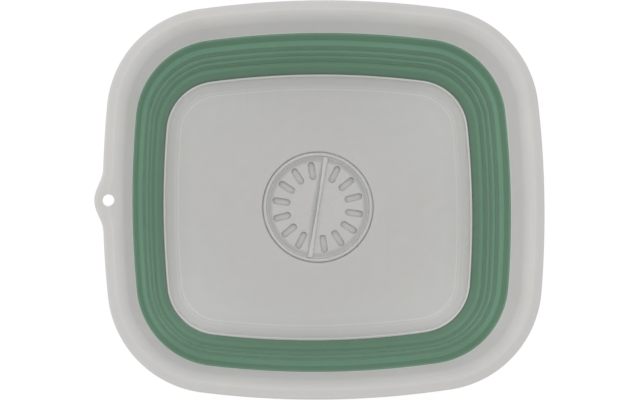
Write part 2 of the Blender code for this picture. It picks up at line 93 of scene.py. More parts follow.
# Clearance between pieces that are bonded or lie on each other
BOND_GAP = 0.0003
# Half the width of the fine line along the rim's crease
CREASE_HALF = 0.0006
# How far a web's upper edge is tucked into the band above it
TUCK = 0.0002
# How far the strainer's ring stands over the floor, and its grip bar ends short of the ring
RING_PROUD = 0.0006
BAR_SHORT = 0.0006
# How far below the base's top its rounded crest starts
CREST_DEPTH = 0.0008
# How far a slot's cutter reaches below and over the dish's edge
SLOT_REACH = (-0.006, 0.003)
# How far below the rim's top and below the floor another grey starts and ends to take over: painted light on
# the rim's wall, a lighter and pinker grey than the lip's, and painted shade in the base's sump, a darker
# and less pink grey than the floor's
WALL_GREY_DEPTHS = (0.003, 0.014)
SUMP_GREY_DEPTHS = (0.002, 0.005)
# How far the stage's floor lies below the feet, so that the two don't coincide
FLOOR_DROP = 0.0001
# Where the two soft lamps stand and how wide they are, and the point that both look at
KEY_LAMP = ((-0.4, 1.1, 2.0), 1.2)
SIDE_LAMP = ((-1.5, 0.25, 0.55), 0.8)
LAMP_AIM = (AXIS_X, 0, 0.05)

# Tones say how the colour departs from the main one: 1 is all pale, -1 is all deep, and every tone is
# painted light. The rubber's follow the inset from the rim's outer edge, with painted shade in the grooves
# beside the rim and the base and painted highlights on the folds between them.
RUBBER_PAINTED_LIGHT = (
    (0.0219, -0.6),
    (0.0225, -0.4),
    (0.023, 0.1),
    (0.0235, -0.2),
    (0.0255, -0.15),
    (0.03, -0.1),
    (0.0308, 0.05),
    (0.0334, 0.3),
    (0.0345, 0.2),
    (0.0358, 0.15),
    (0.0372, 0.5),
    (0.0412, 0.55),
    (0.0428, 0.35),
    (0.0436, -0.3),
    (0.0441, -0.8),
)
# Tones over whole places, all painted light: painted highlights on the folds' crests and other upward faces,
# the rim's outer edge and crease and the base's edge, painted shade in the drain's seat, and on the
# strainer's ring a painted highlight from its crest that turns to painted shade down its outer flank
UPWARD_PAINTED_HIGHLIGHT = 0.5
RIM_EDGE_PAINTED_HIGHLIGHT = 0.7
CREASE_PAINTED_HIGHLIGHT = 0.2
BASE_EDGE_PAINTED_HIGHLIGHT = 0.25
SEAT_PAINTED_SHADE = -0.1
RING_PAINTED_LIGHT = (0.3, -0.2)
# Painted shade in the base's cove, by how far in from its start, and in the strainer's, by how far in from
# its ring
BASE_COVE_PAINTED_SHADE = (
    (0.0, -0.1),
    (0.0008, -0.6),
    (0.0028, -0.76),
    (0.0055, -0.72),
    (0.0072, -0.6),
    (0.0086, -0.2),
)
DISH_COVE_PAINTED_SHADE = (
    (0.0, -0.4),
    (0.0006, -0.95),
    (0.002, -1.0),
    (0.0036, -1.0),
    (0.0048, -0.7),
    (0.0066, 0.0),
)
# Painted shade on the walls of the strainer's slots, row by row from below
SLOT_PAINTED_SHADE = (0, 0, -0.6, -0.9, -0.9, -0.9, -0.7, -0.4, -0.2, 0, 0, 0)


def length(default, name, description, low=0.0):
    """A length in metres for a property group."""
    return bpy.props.FloatProperty(
        name=name,
        description=description,
        default=default,
        min=low,
        precision=5,
        step=0.01,
        subtype="DISTANCE",
        unit="LENGTH",
    )


def share(default, name, description, high=1.0):
    """A plain number from nothing up to a highest value."""
    return bpy.props.FloatProperty(
        name=name, description=description, default=default, min=0.0, max=high, subtype="FACTOR"
    )


def angle(default, name, description):
    """An angle whose default is given in degrees."""
    return bpy.props.FloatProperty(
        name=name, description=description, default=math.radians(default), subtype="ANGLE", unit="ROTATION"
    )


def colour(default, name, description):
    """A colour as linear red, green and blue."""
    return bpy.props.FloatVectorProperty(
        name=name, description=description, default=default, size=3, min=0.0, max=1.0, subtype="COLOR"
    )


class BasinOutline(bpy.types.PropertyGroup):
    """The shape that every ring of the basin follows"""

    half_length: length(RIM_HIGH.x - AXIS_X, "Half length", "From the axis to the plain end of the rim")
    half_width: length(RIM_HIGH.y, "Half width", "From the axis to a long side of the rim")
    corner: length(0.0926, "Corner radius", "Radius of the rim's outer corners")
    end_bow: length(0.85, "End bow", "Radius of the two gently bowed ends")
    side_bow: length(0.78, "Side bow", "Radius of the two gently bowed sides")
    foot_inset: length(0.0219, "Rim foot inset", "How far the rim's foot lies in from its outer edge")
    base_inset: length(0.0444, "Base inset", "How far the base's edge lies in from the rim's outer edge")
    extra_width: share(0.126, "Extra inset across", "How much faster the wall narrows across the width")
    side_ease: length(0.0006, "Side ease", "How much less the rim's wall leans in along the long sides")
    corner_ease: length(0.002, "Corner ease", "How much rounder the corners are at the rim's foot")
    corner_follow: share(0.96, "Corner follows", "Share of the inset that comes off the corner radius")


class RimSizes(bpy.types.PropertyGroup):
    """Sizes of the grey rim, its ear and its hanging hole"""

    wall: length(0.0022, "Wall", "Thickness of the rim")
    skirt_drop: length(0.009, "Skirt drop", "How far the outer skirt hangs below the lip's crown")
    edge_radius: length(0.003, "Outer edge radius", "Rounding between the skirt and the lip")
    crown: length(0.0006, "Crown", "How far the lip's middle stands over its outer edge")
    crease_inset: length(0.0083, "Crease inset", "Where the flat outer lip meets the slope inwards")
    crease_rise: length(0.00008, "Crease rise", "Height of the fine raised line along the crease")
    shoulder_run: length(0.0083, "Shoulder run", "Width of the lip's shoulder inside the crease")
    shoulder_drop: length(0.013, "Shoulder drop", "Fall of the lip's shoulder inside the crease")
    shoulder_tilt: angle(20, "Shoulder tilt", "How steeply the shoulder leaves the crease")
    foot_bead: length(0.0005, "Foot bead", "How far the rim's foot turns inwards over the rubber")
    ear_reach: length(0.0073, "Ear reach", "How far the ear stands out of the end")
    ear_half_width: length(0.027, "Ear half width", "Half the width of the ear at its root")
    ear_flat: length(0.00016, "Ear rise", "Height of the ear's flat pad over the lip")
    hole_radius: length(0.005, "Hole radius", "Radius of the hanging hole")
    hole_setback: length(0.0122, "Hole setback", "From the ear's nose to the middle of the hole")
    hole_rounding: length(0.0005, "Hole rounding", "Rounding of the hole's edges")


class WallSizes(bpy.types.PropertyGroup):
    """Sizes of the folding green wall"""

    lap_wall: length(0.0018, "Lap wall", "Thickness of the bonded edges")
    lap_shelf: length(0.0012, "Lap shelf", "How far the rubber shows inside the rim's foot")
    lap_height: length(0.008, "Lap height", "How far the rubber reaches up behind the rim's foot")
    web_wall: length(0.001, "Web wall", "Thickness of the thin fold webs")
    band_wall: length(0.0016, "Band wall", "Thickness of the stiff bands")
    band_run: length(0.0013, "Band run", "How far a band leans inwards")
    upper_band: length(0.0297, "Upper band inset", "Inset of the upper band's top")
    lower_band: length(0.0355, "Lower band inset", "Inset of the lower band's top")
    shelf_lift: length(0.0013, "Shelf lift", "How far a web's shelf lies over the band below it")


class PanSizes(bpy.types.PropertyGroup):
    """Sizes of the grey base, its drain and what lies under its floor"""

    wall: length(0.002, "Wall", "Thickness of the base")
    edge_depth: length(0.0035, "Edge depth", "Upright part of the edge above the cove")
    edge_run: length(0.0003, "Edge run", "How far the upright part leans inwards")
    cove_run: length(0.0085, "Cove run", "Width of the rounded cove")
    groove: length(0.0008, "Groove", "Width of the flat groove at the cove's foot")
    step: length(0.0006, "Floor step", "How far the floor stands over the groove")
    floor_height: length(0.0131, "Floor height", "Height of the floor over the surface it stands on")
    seat_radius: length(0.0527, "Seat radius", "Radius of the drain seat")
    seat_depth: length(0.0029, "Seat depth", "Depth of the drain seat's ledge")
    ledge: length(0.0034, "Ledge", "Width of the ledge under the strainer")
    sump_depth: length(0.0056, "Sump depth", "Depth of the sump below the ledge")
    sump_run: length(0.0022, "Sump run", "Slope of the sump's wall")
    outlet_radius: length(0.0125, "Outlet radius", "Radius of the outlet")
    outlet_flare: length(0.0013, "Outlet flare", "Chamfer around the outlet")
    outlet_drop: length(0.0026, "Outlet drop", "Depth of the outlet's collar")
    boss_radius: length(0.011, "Boss radius", "Radius of the foot bosses")
    boss_wall: length(0.0025, "Boss wall", "Wall of the foot bosses")
    boss_height: length(0.0017, "Boss height", "Height of the bosses' lower ends over the surface")
    rib_width: length(0.0018, "Rib width", "Thickness of the ribs under the floor")
    rib_depth: length(0.0045, "Rib depth", "Depth of the ribs under the floor")


class StrainerSizes(bpy.types.PropertyGroup):
    """Sizes of the lift-out strainer"""

    wall: length(0.001, "Wall", "Thickness of the strainer")
    ring_width: length(0.0034, "Ring width", "Width of the ring around the dish")
    ring_rounding: length(0.0016, "Ring rounding", "Rounding of the ring's crest")
    cove_run: length(0.0046, "Cove run", "Width of the dish's rounded wall")
    dish_drop: length(0.0035, "Dish drop", "Depth of the dish's edge below the ring's crest")
    dish_sag: length(0.0012, "Dish sag", "How much deeper the dish's middle lies than its edge")
    grip_half_width: length(0.0022, "Grip half width", "Half the width of the grip bar at its ends")
    grip_waist: length(0.00095, "Grip waist", "Half the width of the grip bar at its middle")
    grip_down: length(0.0003, "Grip set down", "How far the grip bar lies below the ring's crest")
    grip_scoop: length(0.0068, "Grip scoop", "Width of the hollow flank beside the grip bar's middle")
    grip_fillet: length(0.0012, "Grip fillet", "Fillet along the plain side of the grip bar")
    grip_tilt: angle(-9.5, "Grip tilt", "Turn of the grip bar from the basin's width")
    slots: bpy.props.IntProperty(name="Slots", description="Slots on each side of the bar", default=7, min=1)
    slot_clear: angle(18, "Slot clearance", "Angle between the grip bar and the first slot")
    slot_half_width: length(0.0031, "Slot half width", "Half the width of a slot")
    slot_length: length(0.0171, "Slot length", "Length of a slot along the radius")
    slot_edge: length(0.0005, "Slot to edge", "From a slot's outer end to the dish's edge")
    slot_rounding: length(0.00045, "Slot rounding", "Rounding of a slot's upper edge")


class BasinFinishes(bpy.types.PropertyGroup):
    """Colours and roughness of the plastic and the rubber"""

    grey: colour((0.766, 0.757, 0.743), "Grey plastic", "Colour of the rim's lip")
    # The wall grey is painted light: lighter and pinker than the lip's grey, it lifts the shade on the rim's
    # wall
    grey_wall: colour((0.785, 0.757, 0.767), "Wall grey", "Colour of the rim's inner wall")
    grey_warm: colour((0.772, 0.75, 0.72), "Warm grey", "Colour of the rim's faint warm clouds")
    base_grey: colour((0.803, 0.77, 0.777), "Base grey", "Colour of the base")
    base_warm: colour((0.803, 0.764, 0.757), "Warm base grey", "Colour of the base's faint warm clouds")
    # The sump grey is painted shade: darker and less pink than the base's grey, below the floor
    sump_grey: colour((0.775, 0.765, 0.762), "Sump grey", "Colour of the base below its floor")
    strainer_grey: colour((0.816, 0.79, 0.788), "Strainer grey", "Colour of the strainer")
    # The pale grey is a painted highlight on edges, crests and the crease, not a polish
    grey_painted_highlight: colour((0.88, 0.87, 0.855), "Pale edges", "Colour of the grey plastic's polished edges")
    # The deep grey is painted shade in the coves, the slots, the seat and the grip's scoop
    grey_painted_shade: colour((0.595, 0.588, 0.574), "Deep grey", "Colour of the grey plastic's dull hollows")
    grey_scuff: colour((0.66, 0.655, 0.645), "Scuff grey", "Colour of the hairline scuffs")
    grey_gloss: share(0.42, "Grey roughness", "Roughness of the moulded plastic")
    green: colour((0.139, 0.282, 0.186), "Green rubber", "Colour of the folding wall")
    # The pale green is the rubber's cloudy bloom and fine pale specks, and also the painted highlight on its
    # folds and upward faces, not a worn colour
    green_bloom_and_painted_highlight: colour((0.158, 0.3, 0.204), "Pale green", "Colour of the rubber where a fold has worked")
    # The deep green is painted shade in the rubber's grooves
    green_painted_shade: colour((0.09, 0.195, 0.124), "Deep green", "Colour of the rubber's grooves")
    green_gloss: share(0.6, "Rubber roughness", "Roughness of the rubber")
    pad: colour((0.36, 0.355, 0.34), "Grey rubber", "Colour of the stopper and the foot pads")
    pad_gloss: share(0.7, "Pad roughness", "Roughness of the grey rubber")


class StageSettings(bpy.types.PropertyGroup):
    """The camera, the lamps and the floor"""

    camera_height: length(1.2, "Camera height", "Height of the camera over the rim")
    camera_x: length(-0.0635, "Camera offset X", "Camera to the left of the basin's axis", low=-1.0)
    camera_y: length(-0.078, "Camera offset Y", "Camera in front of the basin's axis", low=-1.0)
    aim_x: length(-0.0043, "Aim X", "Where the camera looks in the rim's plane", low=-1.0)
    aim_y: length(-0.00135, "Aim Y", "Where the camera looks in the rim's plane", low=-1.0)
    roll: angle(0.57, "Roll", "Turn of the camera around its line of sight")
    tilt: share(0.7, "Tilt", "How far the camera turns from straight down towards its aim")
    lens: bpy.props.FloatProperty(
        name="Lens", description="Focal length in millimetres, on a film 36 mm wide", default=78.88, min=1
    )
    ambient: share(0.66, "Ambient", "Brightness of the light from all around", high=10.0)
    key_power: share(4.0, "Key power", "Power of the large soft lamp overhead, in watts", high=1000.0)
    side_power: share(1.2, "Side power", "Power of the low soft lamp beside the ear, in watts", high=1000.0)
    fill_power: share(26.8, "Fill power", "Power of the flagged spot over the mouth, in watts", high=1000.0)
    fill_height: length(1.4, "Fill height", "Height of the flagged spot over the rim")
    fill_half_length: length(0.168, "Fill half length", "Half the length of the lit field at the rim")
    fill_half_width: length(0.149, "Fill half width", "Half the width of the lit field at the rim")
    floor: colour((0.8, 0.8, 0.8), "Floor", "Colour of the floor as it lights the basin")
    floor_glow: share(0.84, "Floor glow", "Brightness of the floor's own light in the camera's view")
    floor_matt: share(0.3, "Floor matt", "Grey of the part that takes shadows in the camera's view")


def arc_points(centre, semi_axes, start, stop, steps):
    """Points of an ellipse's arc: the centre, plus each half axis times the cosine or the sine of an angle
    that goes evenly from start to stop, in degrees."""
    angles = np.radians(np.linspace(start, stop, steps + 1))
    around = np.column_stack((np.cos(angles), np.sin(angles)))
    return np.asarray(centre) + np.asarray(semi_axes) * around


def rounded_line(points, cuts, steps=6):
    """A line whose inner corners are rounded. Each corner is replaced by a quadratic curve that starts a cut
    before it and ends a cut after it, with the corner itself as the curve's middle control point."""
    points = np.asarray(points, float)
    cuts = np.asarray(cuts, float)[:, None]
    corners = points[1:-1]
    before = points[:-2] - corners
    after = points[2:] - corners
    start = corners + cuts * before / np.linalg.norm(before, axis=1, keepdims=True)
    stop = corners + cuts * after / np.linalg.norm(after, axis=1, keepdims=True)
    t = np.linspace(0, 1, steps + 1)[None, :, None]
    curves = (1 - t) ** 2 * start[:, None] + 2 * t * (1 - t) * corners[:, None] + t**2 * stop[:, None]
    return np.concatenate((points[:1], curves.reshape(-1, 2), points[-1:]))


def subdivided(line, step):
    """The same line with points added so that no two neighbours are much further apart than a step."""
    gaps = np.linalg.norm(np.diff(line, axis=0), axis=1)
    counts = np.maximum(np.ceil(gaps / step).astype(int), 1)
    ends = np.r_[0, np.cumsum(counts)]
    place = np.arange(len(line))
    where = np.interp(np.arange(ends[-1] + 1), ends, place)
    return np.column_stack([np.interp(where, place, line[:, axis]) for axis in (0, 1)])


def normals_of(line):
    """Unit normals of a line in a section, to the left of its direction, averaged at each point."""
    along = np.gradient(line, axis=0)
    along /= np.linalg.norm(along, axis=1, keepdims=True)
    return np.column_stack((-along[:, 1], along[:, 0]))


def shell_loop(line, wall, back=None):
    """A closed section: the shown line, a back line moved along its normals by the wall, and a half circle
    around the middle of the wall at each end. The back line is the shown line itself, or a plainer one with
    the same ends. Moved points that come nearer to the back line than the wall are left out with their
    neighbours, so that tight bends don't fold over themselves."""
    back = line if back is None else back
    under = back - wall * normals_of(back)
    nearest = wall * 0.992
    near = np.linalg.norm(under[:, None] - back[None], axis=2).min(1) < nearest
    near = near | np.roll(near, 1) | np.roll(near, -1)
    near[[0, -1]] = False
    normals = normals_of(line)
    turn = np.radians(np.arange(30, 180, 30))[:, None]
    caps = []
    for end, sign in ((-1, 1), (0, -1)):
        middle = line[end] - normals[end] * wall / 2
        along = np.array((normals[end][1], -normals[end][0])) * sign
        caps.append(middle + wall / 2 * (np.cos(turn) * normals[end] * sign + np.sin(turn) * along))
    return np.concatenate((line, caps[0], under[~near][::-1], caps[1]))


def ridge(values, middle, reach):
    """One where a value is at the middle, falling evenly to nothing at a reach to either side of it."""
    return np.clip(1 - np.abs(values - middle) / reach, 0, 1)


def tones_at(places, table):
    """Tones read off a table of places and tones, evenly from row to row."""
    return np.interp(places, *np.transpose(table))


def basin_rings(insets, steps, ears=0.0):
    """Rings of the basin's outline, one for each inset, counter-clockwise from +X. A quarter is three arcs
    that meet without a corner: half an end about a far centre on the length, the corner, and half a side
    about a far centre on the width. The corner's centre is where circles about those two centres, of their
    radii less the corner's own, cross. The ear adds a raised cosine of the width to the -X end."""
    size = bpy.context.scene.basin_outline
    insets = np.asarray(insets, float)[:, None]
    in_wall = np.clip(insets - size.foot_inset, 0, size.base_inset - size.foot_inset)
    in_rim = np.clip(insets / size.foot_inset, 0, 1)
    above = 1 - in_wall / (size.base_inset - size.foot_inset)
    across = insets + size.extra_width * in_wall - size.side_ease * in_rim**2
    half_length = size.half_length - insets
    half_width = size.half_width - across
    corner = size.corner - size.corner_follow * (insets + across) / 2
    corner = corner + size.corner_ease * in_rim**2 * above
    end_x = half_length - size.end_bow
    side_y = half_width - size.side_bow
    end_reach = size.end_bow - corner
    side_reach = size.side_bow - corner
    apart = np.hypot(end_x, side_y)
    along = (end_reach**2 - side_reach**2 + apart**2) / (2 * apart)
    beside = np.sqrt(end_reach**2 - along**2)
    corner_x = end_x - along * end_x / apart - beside * side_y / apart
    corner_y = along * side_y / apart - beside * end_x / apart
    end_stop = np.arctan2(corner_y, corner_x - end_x)
    side_start = np.arctan2(corner_y - side_y, corner_x)

    end_crowding = 1.3
    end_angles = end_stop * np.linspace(0, 1, steps[0] + 1) ** end_crowding
    corner_angles = end_stop + (side_start - end_stop) * np.linspace(0, 1, steps[1] + 1)[1:]
    side_angles = side_start + (math.pi / 2 - side_start) * np.linspace(0, 1, steps[2] + 1)[1:]
    arcs = (
        (end_x, 0, size.end_bow, end_angles),
        (corner_x, corner_y, corner, corner_angles),
        (0, side_y, size.side_bow, side_angles),
    )
    x = np.hstack([middle_x + radius * np.cos(turn) for middle_x, middle_y, radius, turn in arcs])
    y = np.hstack([middle_y + radius * np.sin(turn) for middle_x, middle_y, radius, turn in arcs])
    quarter = np.stack((x, y), -1)
    there, back = quarter[:, :-1], quarter[:, :0:-1]
    rings = np.concatenate((there, back * (-1, 1), there * (-1, -1), back * (1, -1)), axis=1)
    rim = bpy.context.scene.basin_rim
    near = np.clip(rings[..., 1] / rim.ear_half_width, -1, 1)
    bump = (1 + np.cos(math.pi * near)) / 2 * (rings[..., 0] < 0)
    rings[..., 0] -= rim.ear_reach * np.reshape(ears, (-1, 1)) * bump
    return rings


def carried_round(section, steps, ears=0.0):
    """A section carried around the basin: the ring of each point's inset, lifted to the point's height."""
    rings = basin_rings(section[:, 0], steps, ears)
    heights = np.broadcast_to(section[:, 1][:, None, None], rings.shape[:2] + (1,))
    return np.concatenate((rings, heights), -1) + (AXIS_X, 0, 0)


def circled(radii, heights, bearings, centre=(AXIS_X, 0.0)):
    """Points about an upright axis: the centre, plus the radius times the bearing's cosine and sine."""
    x = centre[0] + radii * np.cos(bearings)
    y = centre[1] + radii * np.sin(bearings)
    return np.stack((x, y, np.broadcast_to(heights, x.shape)), -1)


def turned(section, bearings, centre=(AXIS_X, 0.0)):
    """A section of radii and heights turned about an upright axis."""
    return circled(section[:, :1], section[:, 1:], bearings, centre)


def swung(points, bearing):
    """Points given by how far they lie from the basin's axis along a bearing and to its left, and by their
    height, turned and moved to their place."""
    x, y, z = np.moveaxis(points, -1, 0)
    cos, sin = math.cos(bearing), math.sin(bearing)
    return np.stack((x * cos - y * sin + AXIS_X, x * sin + y * cos, z), -1)


def grid_mesh(name, points, close_section=True, close_ring=True, values=None):
    """A mesh of quads over a grid of points, closed along its columns, its rows or both. The values, one for
    each row of the grid or for each point, are kept as the attribute tone, which carries a piece's painted
    highlights and painted shade."""
    rows, columns = points.shape[:2]
    index = np.arange(rows * columns).reshape(rows, columns)
    if close_ring:
        index = np.hstack((index, index[:, :1]))
    if close_section:
        index = np.vstack((index, index[:1]))
    faces = np.stack((index[:-1, :-1], index[:-1, 1:], index[1:, 1:], index[1:, :-1]), -1)
    faces = faces.reshape(-1, 4)
    mesh = bpy.data.meshes.new(name)
    mesh.vertices.add(rows * columns)
    mesh.vertices.foreach_set("co", points.astype(np.float32).ravel())
    mesh.loops.add(faces.size)
    mesh.loops.foreach_set("vertex_index", faces.astype(np.int32).ravel())
    mesh.polygons.add(len(faces))
    mesh.polygons.foreach_set("loop_start", np.arange(0, faces.size, 4, dtype=np.int32))
    mesh.update(calc_edges=True)
    if values is not None:
        tone = mesh.attributes.new("tone", "FLOAT", "POINT")
        spread = np.broadcast_to(np.reshape(values, (rows, -1)), (rows, columns))
        tone.data.foreach_set("value", spread.astype(np.float32).ravel())
    return mesh


def welded(mesh):
    """Merges points that lie on one another, at poles and where grids meet, and turns all faces outwards."""
    shape = bmesh.new()
    shape.from_mesh(mesh)
    bmesh.ops.remove_doubles(shape, verts=shape.verts, dist=WELD_DISTANCE)
    bmesh.ops.dissolve_degenerate(shape, edges=shape.edges, dist=WELD_DISTANCE)
    bmesh.ops.recalc_face_normals(shape, faces=shape.faces)
    shape.to_mesh(mesh)
    shape.free()
    return mesh


def lathed(name, section, bearings=SMALL_ROUND, centre=(AXIS_X, 0.0), closed=False, values=None):
    """A solid turned from a section that starts and ends on the axis, or is closed in itself."""
    points = turned(section, bearings, centre)
    return welded(grid_mesh(name, points, close_section=closed, values=values))


def joined(name, meshes):
    """Several meshes as one."""
    shape = bmesh.new()
    for mesh in meshes:
        shape.from_mesh(mesh)
        bpy.data.meshes.remove(mesh)
    whole = bpy.data.meshes.new(name)
    shape.to_mesh(whole)
    shape.free()
    return whole


def linked(name, data):
    """A new object in the scene."""
    thing = bpy.data.objects.new(name, data)
    bpy.context.scene.collection.objects.link(thing)
    return thing


def put_in_scene(name, mesh, material):
    """Links a mesh as a smooth-shaded piece with its material."""
    mesh.shade_smooth()
    mesh.set_sharp_from_angle(angle=SMOOTH_ANGLE)
    piece = linked(name, mesh)
    piece.data.materials.append(material)
    return piece


def cut(piece, cutter_mesh):
    """Takes a cutter's shape out of a piece and keeps the result as the piece's own mesh."""
    cutter = linked("cutter", cutter_mesh)
    boolean = piece.modifiers.new("cut", "BOOLEAN")
    boolean.operation = "DIFFERENCE"
    boolean.solver = "EXACT"
    boolean.object = cutter
    graph = bpy.context.evaluated_depsgraph_get()
    mesh = bpy.data.meshes.new_from_object(piece.evaluated_get(graph))
    piece.modifiers.clear()
    old = piece.data
    piece.data = mesh
    mesh.name = old.name
    bpy.data.meshes.remove(old)
    bpy.data.objects.remove(cutter)
    bpy.data.meshes.remove(cutter_mesh)
    mesh.set_sharp_from_angle(angle=SMOOTH_ANGLE)


def connect(tree, value, socket):
    """Links an output to an input, or sets the input's own value. A colour gets an alpha of one."""
    if isinstance(value, bpy.types.NodeSocket):
        tree.links.new(value, socket)
    elif socket.type == "RGBA":
        socket.default_value = (*value, 1)
    else:
        socket.default_value = value


def fed(tree, node, **inputs):
    """A node with its named inputs linked or set. In the names, _ stands for a space."""
    for name, value in inputs.items():
        connect(tree, value, node.inputs[name.replace("_", " ")])
    return node


def new_node(tree, kind, **inputs):
    """A new node with its named inputs linked or set."""
    return fed(tree, tree.nodes.new(kind), **inputs)


def noise(tree, place, scale, detail, roughness=0.5, distortion=0.0):
    """A cloudy pattern from 0 to 1, whose scale says how many clouds lie along a metre."""
    settings = {"Scale": scale, "Detail": detail, "Roughness": roughness, "Distortion": distortion}
    return new_node(tree, "ShaderNodeTexNoise", Vector=place, **settings).outputs["Fac"]


def mapped(tree, value, low, high, to_low=0.0, to_high=1.0):
    """A value's range stretched to another range, and held within it."""
    ends = {"From_Min": low, "From_Max": high, "To_Min": to_low, "To_Max": to_high}
    return new_node(tree, "ShaderNodeMapRange", Value=value, **ends).outputs["Result"]


def patches(tree, place, pattern, low, high, to_low=0.0, to_high=1.0):
    """A cloudy pattern whose range from low to high is stretched to another range."""
    return mapped(tree, noise(tree, place, *pattern), low, high, to_low, to_high)


def computed(tree, operation, *values):
    """What one operation makes of values, each an output or a number."""
    node = tree.nodes.new("ShaderNodeMath")
    node.operation = operation
    for socket, value in zip(node.inputs, values):
        connect(tree, value, socket)
    return node.outputs[0]


def mixed(tree, factor, first, second, blend="MIX"):
    """A mix of two colours by a factor. Each is an output or a plain value."""
    node = tree.nodes.new("ShaderNodeMix")
    node.data_type = "RGBA"
    node.blend_type = blend
    for number, value in ((0, factor), (6, first), (7, second)):
        connect(tree, value, node.inputs[number])
    return node.outputs[2]


def toned(tree, base, tone, pale, deep):
    """A colour that turns pale as the tone rises to one, and deep as it falls to minus one: painted
    highlights and painted shade.
    """
    base = mixed(tree, mapped(tree, tone, 0, 1), base, pale)
    return mixed(tree, mapped(tree, tone, 0, -1), base, deep)


def painted_light_attribute(tree):
    """The tone that a piece's mesh carries: its painted highlights and painted shade."""
    node = tree.nodes.new("ShaderNodeAttribute")
    node.attribute_name = "tone"
    return node.outputs["Fac"]


def bumped(tree, height, strength, distance, below=None):
    """A normal bent by a height, on top of the bump below it."""
    node = new_node(tree, "ShaderNodeBump", Height=height, Strength=strength, Distance=distance)
    if below is not None:
        connect(tree, below, node.inputs["Normal"])
    return node.outputs["Normal"]


def shaded(tree, **inputs):
    """The material's shader with its named inputs linked or set."""
    return fed(tree, tree.nodes["Principled BSDF"], **inputs)


def start_material(name):
    """A material, its node tree, and the object coordinates that its patterns read."""
    material = bpy.data.materials.new(name)
    material.use_nodes = True
    tree = material.node_tree
    return material, tree, new_node(tree, "ShaderNodeTexCoord").outputs["Object"]


def grey_plastic(name, main, warm, gloss=0.0, ripple=1.0, low=None):
    """Satin moulded polypropylene: slow warm clouds, a fine eroded grain, faint sink ripples and hairline
    scuffs that show in the gloss, and the painted highlights and painted shade of the piece's tone. Low is a
    colour that takes over from the main one between two heights."""
    finish = bpy.context.scene.basin_finish
    material, tree, place = start_material(name)
    if low is not None:
        low_colour, start, stop = low
        height = new_node(tree, "ShaderNodeSeparateXYZ", Vector=place).outputs["Z"]
        main = mixed(tree, mapped(tree, height, start, stop), main, low_colour)
    base = mixed(tree, patches(tree, place, (17, 3, 0.55, 0.4), 0.4, 0.72), main, warm)
    dapple = patches(tree, place, (75, 3, 0.6), 0.3, 0.7)
    shade = mixed(tree, dapple, (0.975, 0.975, 0.975), (1, 1, 1))
    base = mixed(tree, 1.0, base, shade, "MULTIPLY")
    # Painted highlights and painted shade, from the tone that each piece carries
    base = toned(tree, base, painted_light_attribute(tree), finish.grey_painted_highlight, finish.grey_painted_shade)
    scuffs = []
    for scales, turn in (((9, 340, 9), 0.4), ((300, 8, 8), -0.35)):
        streaks = new_node(tree, "ShaderNodeMapping", Vector=place, Scale=scales, Rotation=(0, 0, turn))
        scuffs.append(patches(tree, streaks.outputs["Vector"], (1.0, 2, 0.55), 0.7, 0.78))
    scuff = computed(tree, "MAXIMUM", *scuffs)
    base = mixed(tree, mapped(tree, scuff, 0, 1, 0, 0.25), base, finish.grey_scuff)
    even = finish.grey_gloss - gloss
    rough = patches(tree, place, (52, 4, 0.6), 0.3, 0.7, even - 0.05, even + 0.06)
    sink = bumped(tree, noise(tree, place, 24, 2), 0.35 * ripple, 0.0006)
    grain = bumped(tree, noise(tree, place, 1500, 2, 0.6), 0.22, 0.00006, sink)
    marks = bumped(tree, scuff, 0.12, 0.00004, grain)
    shaded(tree, Base_Color=base, Roughness=rough, Normal=marks)
    return material


def rubber(name, main, pale, deep, gloss):
    """Matt thermoplastic rubber: even colour with a cloudy bloom and fine pale specks, painted highlights on
    its folds and upward faces, painted shade in its grooves, and the fine skin of a blasted mould."""
    material, tree, place = start_material(name)
    base = mixed(tree, patches(tree, place, (34, 4, 0.6, 0.3), 0.35, 0.75, 0, 0.12), main, pale)
    # Painted highlights and painted shade from the piece's tone, made a little uneven by a cloudy pattern
    uneven = patches(tree, place, (120, 3, 0.6), 0.25, 0.7, 0.85, 1)
    tone = computed(tree, "MULTIPLY", painted_light_attribute(tree), uneven)
    base = toned(tree, base, tone, pale, deep)
    base = mixed(tree, patches(tree, place, (900, 2, 0.5), 0.72, 0.8, 0, 0.15), base, pale)
    rough = patches(tree, place, (60, 3, 0.6), 0.3, 0.7, gloss - 0.05, gloss + 0.08)
    skin = bumped(tree, noise(tree, place, 1900, 2, 0.6), 0.3, 0.00005)
    wave = bumped(tree, noise(tree, place, 40, 2), 0.04, 0.0002, skin)
    shaded(tree, Base_Color=base, Roughness=rough, Normal=wave, Sheen_Weight=0.08, Sheen_Roughness=0.5)
    return material


def shared_material(key, make):
    """A finish that several pieces share is made once."""
    return bpy.data.materials.get(key) or make(key)


def rim_finish():
    """The rim's plastic, whose wall takes another grey below the lip: painted light, lighter and pinker than
    the lip's.
    """
    finish = bpy.context.scene.basin_finish
    wall = (finish.grey_wall, *(RIM_TOP - depth for depth in WALL_GREY_DEPTHS))
    return grey_plastic("moulded_rim_polypropylene", finish.grey, finish.grey_warm, low=wall)


def base_finish():
    """The base's plastic, whose sump takes another grey below the floor: painted shade, darker and less pink
    than the floor's.
    """
    finish = bpy.context.scene.basin_finish
    floor = bpy.context.scene.basin_pan.floor_height
    sump = (finish.sump_grey, *(floor - depth for depth in SUMP_GREY_DEPTHS))
    return grey_plastic("moulded_base_polypropylene", finish.base_grey, finish.base_warm, low=sump)


def strainer_finish():
    """The strainer's plastic, glossier and with more ripple than the basin's."""
    finish = bpy.context.scene.basin_finish
    return grey_plastic(
        "glossy_strainer_polypropylene", finish.strainer_grey, finish.grey_warm, gloss=0.14, ripple=1.6
    )


def green_finish():
    """The folding wall's rubber."""
    finish = bpy.context.scene.basin_finish
    look = (finish.green, finish.green_bloom_and_painted_highlight, finish.green_painted_shade, finish.green_gloss)
    return shared_material("green_folding_rubber", lambda name: rubber(name, *look))


